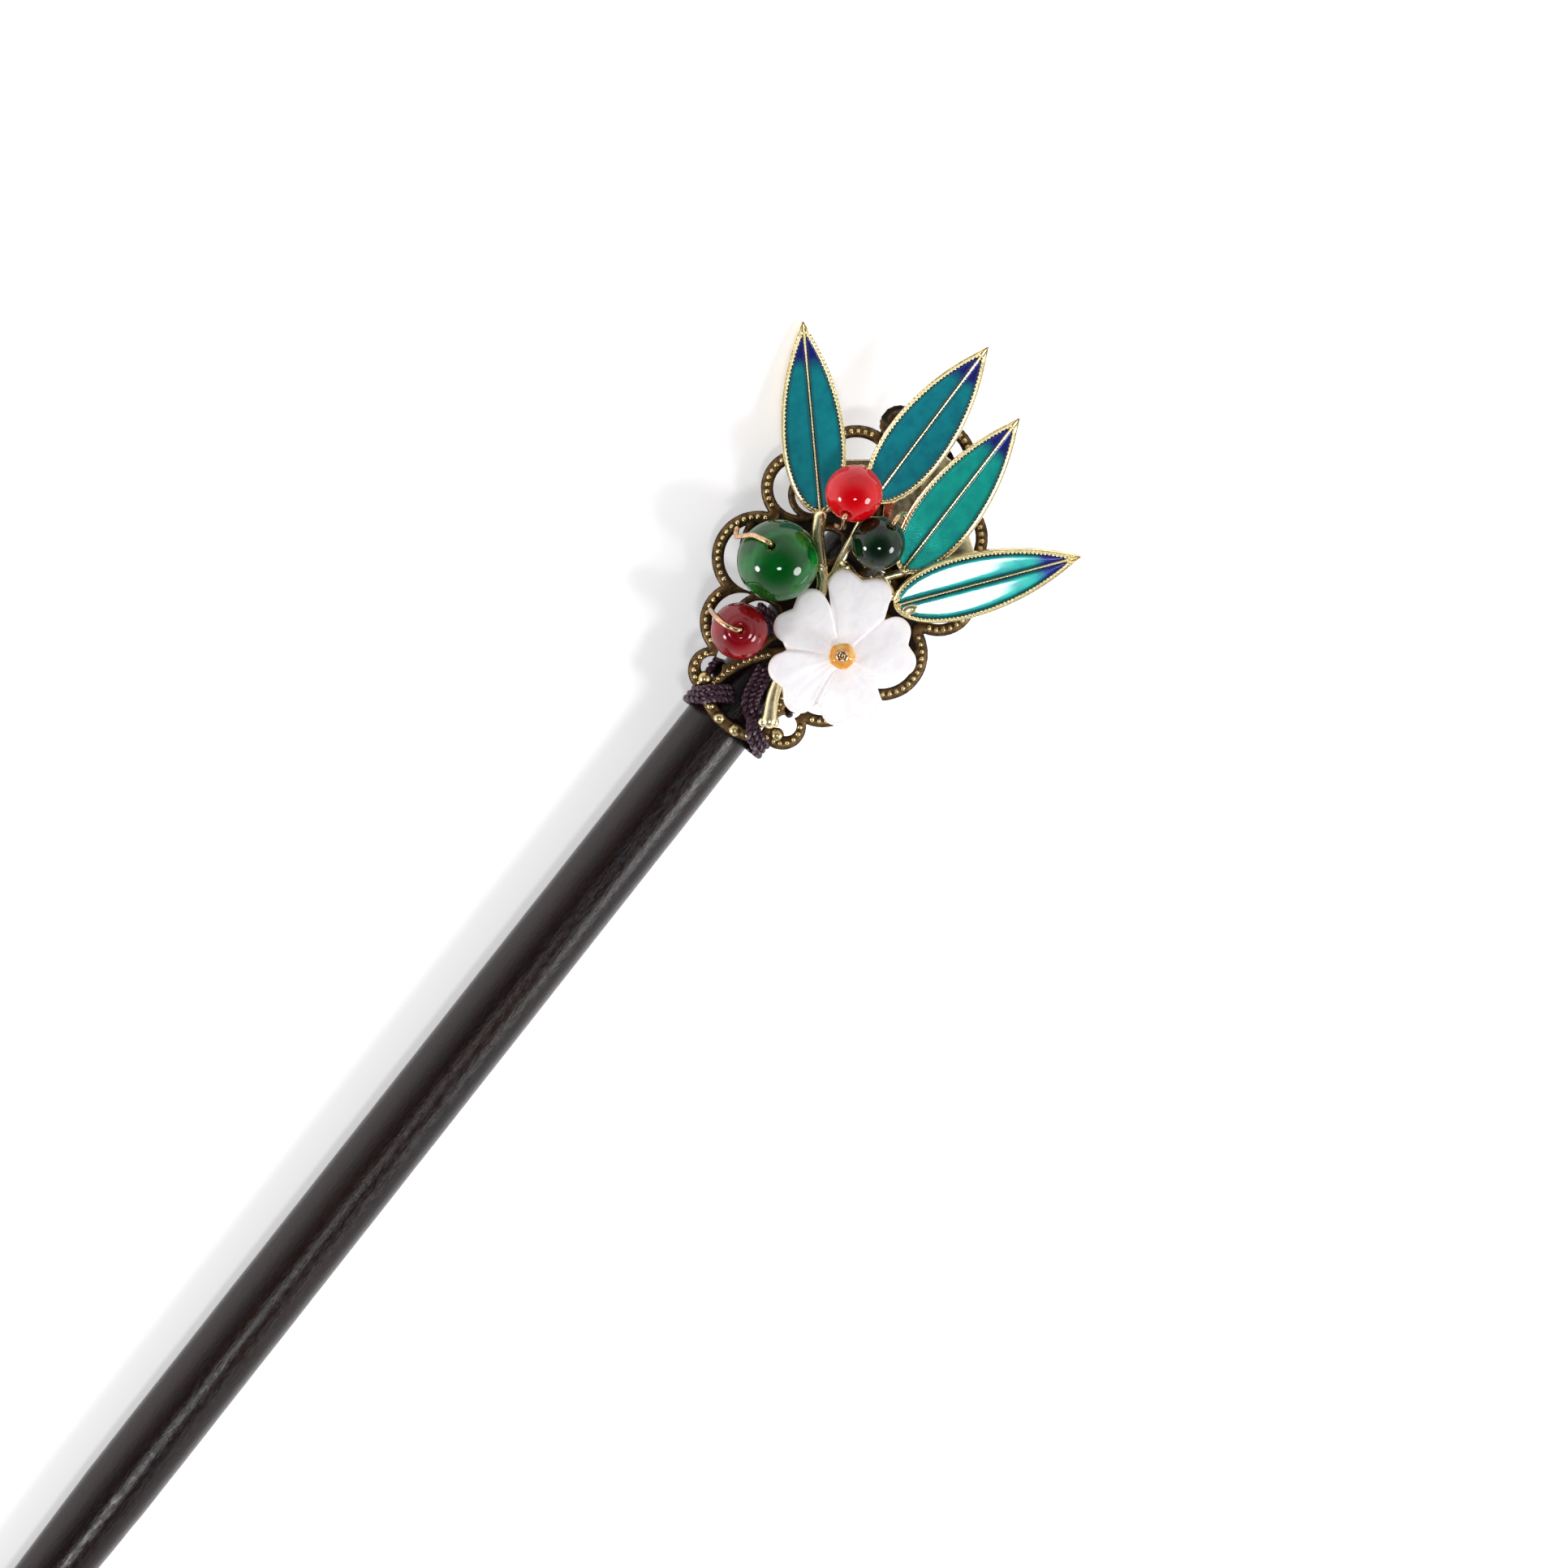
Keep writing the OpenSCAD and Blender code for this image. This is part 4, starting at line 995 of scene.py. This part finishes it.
for leaf in range(4):
    for side, label in ((1, "left"), (-1, "right")):
        node = f"enamel_{leaf + 1}_{label}"
        shape, along, edge = cell_of_enamel(leaf, side)
        piece = wear("glass_" + node, shape, enamels[leaf], node, crease=40)
        for name, values in (("along", along), ("edge", edge)):
            data = piece.data.attributes.new(name, "FLOAT", "POINT")
            data.data.foreach_set("value", values)

# %% [markdown]
# ## The shell flower
#
# Five heart-shaped petals are carved from one piece of shell. Its outline goes round the two
# lobes of each petal and dips at its notch and at the slits between petals. Five separate
# petals would leave seams in the middle, so one sheet of points covers them all. From each
# point of the outline a row of points runs in to the hole, over the top, and back underneath.

# %% The flower's outline
FLOWER_R, PETAL_T, FALL, HOLE_R = 7.2, 2.2, 0.9, 0.5
flower_at = on_plate(0.340, 0.385, FLOWER_UP)
PETALS = [  # heading, reach, half width, and the slit after it: heading, reach
    [-23, 1.15, 0.44, 11, 0.76],
    [42, 0.98, 0.41, 84, 0.50],
    [131, 0.91, 0.42, 170, 0.73],
    [204, 0.99, 0.44, 238.5, 0.76],
    [276, 1.005, 0.43, 309, 0.70],
]
LOBE, LOBE_FROM, LOBE_TO, NOTCH = 0.50, 108, 20, 0.17


def heading_point(heading, reach):
    """A point of the flower, by its direction in degrees and its distance from the middle."""
    return Vector((math.cos(math.radians(heading)), math.sin(math.radians(heading)))) * reach


columns = []  # outline point, share from the petal's first slit to its second, and their three lines
for n, (heading, reach, half, slit, slit_reach) in enumerate(PETALS):
    before = PETALS[n - 1]
    start, end = before[3] - (360 if n == 0 else 0), slit
    reach, half = reach * FLOWER_R, half * FLOWER_R
    r = LOBE * half
    edge = [heading_point(before[3], before[4] * FLOWER_R)]
    for lobe_side, low, high in ((-1, -LOBE_FROM, LOBE_TO), (1, -LOBE_TO, LOBE_FROM)):
        for k in range(19):
            a = math.radians(low + (high - low) * k / 18)
            p = Vector((reach - r + r * math.cos(a), lobe_side * (half - r) + r * math.sin(a)))
            turn = math.radians(heading)
            edge.append(Vector((p.x * math.cos(turn) - p.y * math.sin(turn),
                                p.x * math.sin(turn) + p.y * math.cos(turn))))
        if lobe_side < 0:
            edge.append(heading_point(heading, reach - NOTCH * half))
    edge.append(heading_point(slit, slit_reach * FLOWER_R))
    line = []
    for a, b in zip(edge, edge[1:]):
        parts = max(1, math.ceil((b - a).length / 0.3))
        line += [a.lerp(b, k / parts) for k in range(parts)]
    for p in line:
        bearing = math.degrees(math.atan2(p.y, p.x))
        while bearing < start - 0.01:
            bearing += 360
        share = (bearing - start) / (end - start)
        columns.append((p, min(1, max(0, share)), start, end, heading))
print("the flower's outline has", len(columns), "points")

# %% [markdown]
# The surface falls from the flower's middle to its edge. A groove runs along each slit and a
# wide crease along each petal's middle. Each petal rises from its first slit to its second,
# where it stands a little over the next one. Shallow furrows follow the shell's growth, and
# the edge is rounded over.

# %% The flower's surface
GROOVE, CREASE, STEP, FURROW, SCRATCH = 0.16, 0.07, 0.46, 0.03, 0.008  # mm deep or high
EDGE_WIDE, EDGE_DEEP, EDGE_LEAST, MOUTH = 0.4, 0.34, 0.25, 0.15


def petal_height(p, reach, share, start, end, heading):
    """How far the shell's top stands over its back at a point of the flower."""
    r = p.length
    bearing = math.degrees(math.atan2(p.y, p.x))
    off_start, off_middle, off_end = (
        abs(math.sin(math.radians((bearing - line + 180) % 360 - 180))) * r for line in (start, heading, end))
    top = PETAL_T - FALL * (r / FLOWER_R) ** 2
    grooves = math.exp(-(off_start / 0.20) ** 2) + math.exp(-(off_end / 0.14) ** 2)
    top -= GROOVE * smoothly(r, 0.9, 2.6) * grooves
    top -= CREASE * smoothly(r, 1.5, 5.5) * math.exp(-(off_middle / 0.45) ** 2)
    top += STEP * smoothly(r, 1.2, 4.2) * (share - 0.4)
    top += FURROW * math.sin(9.5 * share + 0.5 * r) * smoothly(r, 1.5, 4) + SCRATCH * math.sin(31 * share)
    inward = reach - r
    if inward < EDGE_WIDE:
        top -= EDGE_DEEP * (1 - math.sqrt(max(0, 1 - (1 - inward / EDGE_WIDE) ** 2)))
    return max(top, EDGE_LEAST)


RADIAL = [0.0, 0.02, 0.05] + [0.05 + 0.75 * k / 22 for k in range(1, 23)] + [
    0.8 + 0.2 * math.sin(math.pi / 2 * k / 12) for k in range(1, 13)]
rows, shades = [], []
for p, share, start, end, heading in columns:
    reach = p.length
    steps = [(f, None) for f in RADIAL] + [(1.0, 0.12), (0.97, 0.0), (0.5, 0.0), (0.0, 0.0)]
    ring = []
    for f, up in steps:
        q = p.normalized() * (HOLE_R + (reach - HOLE_R) * f)
        if up is None:
            up = petal_height(q, reach, share, start, end, heading) - (MOUTH if f == 0.0 else 0)
            # Distance in from the edge, which sets where the shell's painted warm glow lies
            shades.append(min(1, (reach - q.length) / 2.5) if f < 1 else 0.0)
        else:
            shades.append(0.2)
        ring.append(flower_at + Vector((q.x, q.y, up)))
    rows.append(ring)
rows.append(rows[0])
shades += shades[:len(rows[0])]
flower = Shape()
flower.sheet(rows, shades, loop=True)
wear("shell_petals", flower, shell, "shell_flower", crease=70)

# %% [markdown]
# ## Beads
#
# A drilled bead is a turned ring: the outside is round, and the edges of the hole are
# rounded over. A ball with a hole cut in it would need the same rounding at the cut, so the
# whole profile is turned at once. The lower red bead has a fine groove round its hole, and
# the amber seed bead in the flower's middle is low and lumpy.


# %% One turned bead
def turned_bead(node, middle, axis, radius, finish, bore, mouth, squash=1.0, lumps=0.0, groove=0.0):
    """A drilled bead, turned round its hole."""
    axis = Vector(axis).normalized()
    side = axis.orthogonal().normalized()
    other = axis.cross(side)
    profile = []
    start = math.asin((bore + mouth) / radius)
    top = radius * math.cos(start)
    for k in range(6):
        a = math.pi / 2 * k / 5
        profile.append((bore + mouth * (1 - math.sin(math.pi / 2 - a)),
                        top - mouth * 0.6 * (1 - math.sin(a))))
    for k in range(1, 48):
        a = start + (math.pi - 2 * start) * k / 48
        cut = 1 - groove * math.exp(-((radius * math.sin(a) - 1.3) / 0.1) ** 2)
        profile.append((radius * math.sin(a) * cut, radius * math.cos(a) * cut))
    profile += [(r, -h) for r, h in reversed(profile[:6])]
    rows = []
    for k in range(72):
        a = TAU * k / 72
        grow = 1 + lumps * math.sin(5 * a) if lumps else 1
        rows.append([
            middle + axis * h * squash * (1 + lumps * math.sin(3 * a + 1))
            + (side * math.cos(a) + other * math.sin(a)) * r * grow for r, h in profile
        ])
    rows.append(rows[0])
    shape = Shape()
    shape.sheet(rows, 0.5, loop=True)
    return wear(node + "_turned", shape, finish, node, crease=60)


# %% Where the beads are
def bead_at(row):
    """The middle of a bead."""
    return on_plate(row[0], row[1], SPRIG_UP + row[2])


def leaning(lean, heading):
    """The direction of a bead's hole: how far it leans from upright, and which way."""
    lean, heading = math.radians(lean), math.radians(heading)
    return Vector((math.sin(lean) * math.cos(heading), math.sin(lean) * math.sin(heading), math.cos(lean)))


BEADS = {  # share of length, share of half width, height, lean and heading of the hole, diameter
    "green": [0.432, -0.474, 4.0, 23, -62, 8.0],
    "red_low": [0.227, -0.370, 3.1, 3, 0, 5.6],
    "red_high": [0.690, -0.329, 4.75, 55, 162.6, 5.6],
    "dark": [0.629, 0.060, 3.5, 52, -1, 5.3],
}
for key, node, slot, finish, groove in (
        ("green", "green_bead", "green_glass", green_glass, 0.0),
        ("red_low", "red_bead_low", "red_glass", red_glass_low, 0.02),
        ("red_high", "red_bead_high", "red_glass", red_glass_high, 0.0),
        ("dark", "dark_bead", "dark_glass", dark_glass, 0.0)):
    row = BEADS[key]
    turned_bead(node, bead_at(row), leaning(row[3], row[4]), row[5] / 2, finish,
                bore=0.33, mouth=0.4, groove=groove)
SEED_UP, SEED_H = FLOWER_UP + PETAL_T + 0.05, 1.9
seed_middle = Vector((flower_at.x, flower_at.y, SEED_UP + SEED_H / 2))
turned_bead("seed_bead", seed_middle, (0, 0, 1), 1.3, amber_glass,
            bore=0.27, mouth=0.2, squash=0.76, lumps=0.035)

# %% [markdown]
# ## Wires
#
# A wire holds each bead: it comes up from behind the plate, through the bead, and its end is
# bent down over the side. A wire is a round tube along a smooth line. Points round a bead are
# steps from its middle in bead radii, so the wire follows if a bead moves.

# %% Points on the beads
WIRE_D = 0.5
UNDER = PLATE_UP - WIRE_D / 2 - 0.1


def from_bead(key, *steps):
    """Points round a bead, as steps from its middle in bead radii."""
    row = BEADS[key]
    return [bead_at(row) + Vector(step) * row[5] / 2 for step in steps]


def through(key):
    """Four points of a wire that goes through a bead's hole."""
    row = BEADS[key]
    return [bead_at(row) + leaning(row[3], row[4]) * k * row[5] / 2 for k in (-1.03, -0.6, 0.6, 1.03)]


def from_flower(x, y, z):
    """A point over the middle of the flower's back."""
    return flower_at + Vector((x, y, z))


print("wires are", WIRE_D, "mm thick and lie", round(UNDER, 2), "mm above the axis under the plate")

# %% Wires
WIRES = {
    "green_wire": [
        on_plate(0.346, -0.418, UNDER), on_plate(0.385, -0.375, UNDER), on_plate(0.408, -0.372, UNDER),
        on_plate(0.412, -0.372, PLATE_TOP), *through("green"),
        *from_bead("green", (0.19, -0.46, 1.04), (0.15, -0.66, 0.95), (0.09, -0.86, 0.71),
                   (-0.09, -1.06, 0.34), (-0.16, -1.16, 0.11), (-0.01, -1.26, 0.02))],
    "red_wire_low": [
        on_plate(0.218, -0.430, UNDER), on_plate(0.250, -0.386, UNDER), on_plate(0.262, -0.370, UNDER),
        on_plate(0.257, -0.362, PLATE_UP + 0.65), *through("red_low"),
        *from_bead("red_low", (-0.05, -0.14, 1.17), (-0.14, -0.5, 1.18), (-0.13, -0.88, 0.88),
                   (-0.05, -1.2, 0), (-0.03, -1.26, -0.78))],
    "red_wire_high": [
        *from_bead("red_high", (0.70, -0.50, -1.33), (0.86, -0.43, -1.08), (0.93, -0.32, -0.76)),
        *through("red_high"),
        *from_bead("red_high", (-0.93, 0.28, 0.56), (-1.04, 0.36, 0.29), (-1.13, 0.43, -0.2),
                   (-1.2, 0.4, -0.7), (-1.23, 0.18, -1.07))],
    "dark_wire": [
        *from_bead("dark", (-0.87, 0.17, -0.92), (-0.93, 0.07, -0.76)), *through("dark"),
        *from_bead("dark", (0.96, -0.02, 0.72), (1.24, -0.02, 0.48), (1.42, 0.04, 0),
                   (1.43, 0.1, -0.4), (1.41, 0.12, -0.63))],
    "flower_wire": [
        *(from_flower(0.42 * math.cos(a), 0.42 * math.sin(a), 4.32 + 0.02 * a)
          for a in (6.6, 5.4, 4.2, 3.0, 1.8, 0.6)),
        from_flower(0, 0, 4.15), from_flower(0, 0, 2.25), from_flower(0, 0, 0), from_flower(-0.05, 0, -0.7),
        on_plate(0.320, 0.386, PLATE_TOP + 0.45), on_plate(0.309, 0.394, PLATE_TOP - 0.2),
        on_plate(0.309, 0.400, UNDER), on_plate(0.343, 0.450, UNDER)],
}
for node, points in WIRES.items():
    shape = Shape()
    shape.tube(smooth_line(points, 10), WIRE_D / 2, sides=14)
    wear(node + "_drawn", shape, copper, node)

# %% [markdown]
# ## Lashings
#
# Thread is wound round the stick and through the plate's windows, and the front lashing goes
# over its lower edge. Each lashing is a flat bundle of three strands side by side, and each
# strand is two plies twisted together. A bump could draw the twist, but real plies also give
# the bundle its uneven outline.


# %% The lashings' heights
WINDING, STICK_R = 0.6, 3.5
MID = STICK_R + 0.05 + WINDING / 2
OVER_RIB = PLATE_TOP + 0.4 + 0.1 + WINDING / 2
ON_PLATE = PLATE_TOP + 0.05 + WINDING / 2


def round_under(from_along, to_along, start, end, steps=6):
    """Points of a bundle that passes round under the stick, from one angle to another."""
    points = []
    for k in range(steps + 1):
        a = math.radians(start + (end - start) * k / steps)
        along = from_along + (to_along - from_along) * k / steps
        points.append(Vector((along, MID * math.cos(a), MID * math.sin(a))))
    return points


print("a bundle's middle is", round(MID, 2), "mm from the stick's axis")

# %% The lashings' routes
FRONT = 0.021 * PLATE_L
LASHINGS = {
    "lashing_front": [
        on_plate(0.194, -0.028, MID), on_plate(0.106, 0.028, MID), on_plate(0.074, 0.137, MID + 0.05),
        on_plate(0.045, 0.209, OVER_RIB), on_plate(0.027, 0.297, OVER_RIB - 0.05),
        on_plate(0.021, 0.349, PLATE_UP + 0.35), on_plate(0.021, 0.316, STICK_R * 0.55),
        *round_under(FRONT, FRONT, -15, -177),
        on_plate(0.021, -0.372, STICK_R * 0.75), on_plate(0.024, -0.363, PLATE_TOP - 0.2),
        on_plate(0.035, -0.305, OVER_RIB), on_plate(0.053, -0.249, OVER_RIB),
        on_plate(0.069, -0.193, PLATE_TOP + 0.2), on_plate(0.080, -0.145, MID + 0.15),
        on_plate(0.088, -0.120, MID)],
    "lashing_middle": [
        on_plate(0.114, -0.376, PLATE_TOP - 0.3), on_plate(0.114, -0.370, STICK_R * 0.7),
        *round_under(0.117 * PLATE_L, 0.149 * PLATE_L, -177, -12),
        on_plate(0.154, 0.308, STICK_R * 0.66), on_plate(0.153, 0.341, PLATE_TOP - 0.3)],
    "lashing_back": [
        on_plate(0.298, 0.076, ON_PLATE), on_plate(0.298, 0.185, ON_PLATE),
        on_plate(0.298, 0.277, ON_PLATE - 0.15), on_plate(0.298, 0.313, PLATE_UP),
        on_plate(0.298, 0.289, STICK_R * 0.5),
        *round_under(0.298 * PLATE_L, 0.298 * PLATE_L, -10, -178),
        on_plate(0.298, -0.364, STICK_R * 0.5), on_plate(0.298, -0.370, PLATE_UP - 0.2),
        on_plate(0.298, -0.329, PLATE_TOP), on_plate(0.298, -0.249, ON_PLATE),
        on_plate(0.298, 0.020, ON_PLATE)],
}
print(len(LASHINGS), "lashings")

# %% Twisted strands
STRANDS, SPREAD, PLY_D, PLY_OFF, TWIST = 3, 1.2, 0.40, 0.42, 1.1  # PLY_OFF is a share of PLY_D


def lay_strands(shape, points):
    """Twisted strands side by side along a line that goes round the stick's axis."""
    line = smooth_line(points, 40)
    run = 0.0
    plies = [[] for _ in range(STRANDS * 2)]
    for i, p in enumerate(line):
        ahead = (line[min(i + 1, len(line) - 1)] - line[max(i - 1, 0)]).normalized()
        out = Vector((0, p.y, p.z))
        out = (out - ahead * out.dot(ahead)).normalized()
        across = ahead.cross(out)
        run += (p - line[i - 1]).length if i else 0
        for n in range(STRANDS):
            off = (n - (STRANDS - 1) / 2) * SPREAD / (STRANDS - 1)
            lift = 0.06 * math.sin(run * 0.9 + n * 1.7)
            for m in range(2):
                a = TAU * run / TWIST + math.pi * m + n * 1.1
                plies[n * 2 + m].append(p + across * (off + PLY_D * PLY_OFF * math.cos(a))
                                        + out * (lift + PLY_D * PLY_OFF * math.sin(a)))
    for ply in plies:
        shape.tube(ply, PLY_D / 2, sides=6)


for node, points in LASHINGS.items():
    shape = Shape()
    lay_strands(shape, points)
    wear(node + "_twisted", shape, thread, node)

# %% [markdown]
# ## Floor and light
#
# The stick lies on white paper. Two soft lamps stand low at the left and the right, as their
# reflections in the beads show, and a small panel stands high, towards the photograph's lower
# edge. The room is nearly dark overhead and white at its far walls: metal that faces up stays
# rich in colour, and the paper stays bright.

# %% Floor
FLOOR_HALF = 3.0
corners = [(x * FLOOR_HALF, y * FLOOR_HALF, 0) for x, y in ((-1, -1), (1, -1), (1, 1), (-1, 1))]
floor_mesh = bpy.data.meshes.new("floor")
floor_mesh.from_pydata(corners, [], [(0, 1, 2, 3)])
floor = bpy.data.objects.new("floor", floor_mesh)
bpy.context.scene.collection.objects.link(floor)
paper, out = new_finish("paper")
# The paper's tooth, drawn over 1 mm wide so that it shows
tooth = add(paper, "TexNoise", Vector=position_mm(paper), Scale=0.8, Detail=3.0)
rough = add(paper, "Bump", Height=tooth.outputs[0], Distance=0.02 * MM, Strength=0.3)
paper_shader = add(paper, "BsdfPrincipled", Base_Color=colour("#fbfafb"), Roughness=0.85,
                   Emission_Color=colour("#ffffff"), Emission_Strength=0.42, Normal=rough.outputs[0])
floor_mesh.materials.append(finish_with(paper, out, paper_shader, "#fbfafb"))

# %% Lamps
LAMPS = [  # name, direction (right, up, towards the camera), distance, width and height in mm, watts
    ("left lamp", (-0.84, -0.35, 0.42), 700, 170, 170, 1.7),
    ("right lamp", (0.80, -0.45, 0.40), 700, 280, 260, 2.6),
    ("panel", (0.065, -0.405, 0.91), 900, 190, 120, 1.4),
]
ornament_middle = place(18, 0, 6)
for name, (x, y, z), far, width, high, power in LAMPS:
    lamp_data = bpy.data.lights.new(name, "AREA")
    lamp_data.shape = "ELLIPSE"
    lamp_data.size, lamp_data.size_y = width * MM, high * MM
    lamp_data.energy = power
    lamp = bpy.data.objects.new(name, lamp_data)
    way = (frame_right * x + frame_up * y + upward * z).normalized()
    lamp.location = ornament_middle + way * far * MM
    level = frame_up.cross(way).normalized()
    lamp.rotation_euler = Matrix((level, way.cross(level), way)).transposed().to_euler()
    bpy.context.scene.collection.objects.link(lamp)
print(len(LAMPS), "lamps")

# %% The room
DIM_TILT, DIM_COS, WALL_COS = 0.42, 0.97, 0.25  # cosines of the angle from the dimmest direction
DIMMEST, BRIGHTEST = 0.05, 0.95
dim_way = (upward - frame_up * DIM_TILT).normalized()
world = bpy.data.worlds.new("studio")
bpy.context.scene.world = world
world.use_nodes = True
world.node_tree.nodes.clear()
seen = add(world, "TexCoord")
dimness = add(world, "VectorMath", {"operation": "DOT_PRODUCT"}, _0=seen.outputs["Generated"],
              _1=tuple(dim_way)).outputs["Value"]
strength = add(world, "MapRange", SMOOTH, Value=dimness, From_Min=DIM_COS, From_Max=WALL_COS,
               To_Min=DIMMEST, To_Max=BRIGHTEST)
room = add(world, "Background", Strength=strength.outputs[0],
           Color=toned(world, dimness, DIM_COS, WALL_COS, colour("#dfe4ec"), colour("#ffffff")))
add(world, "OutputWorld", Surface=room.outputs[0])
print("the room goes from", DIMMEST, "to", BRIGHTEST)
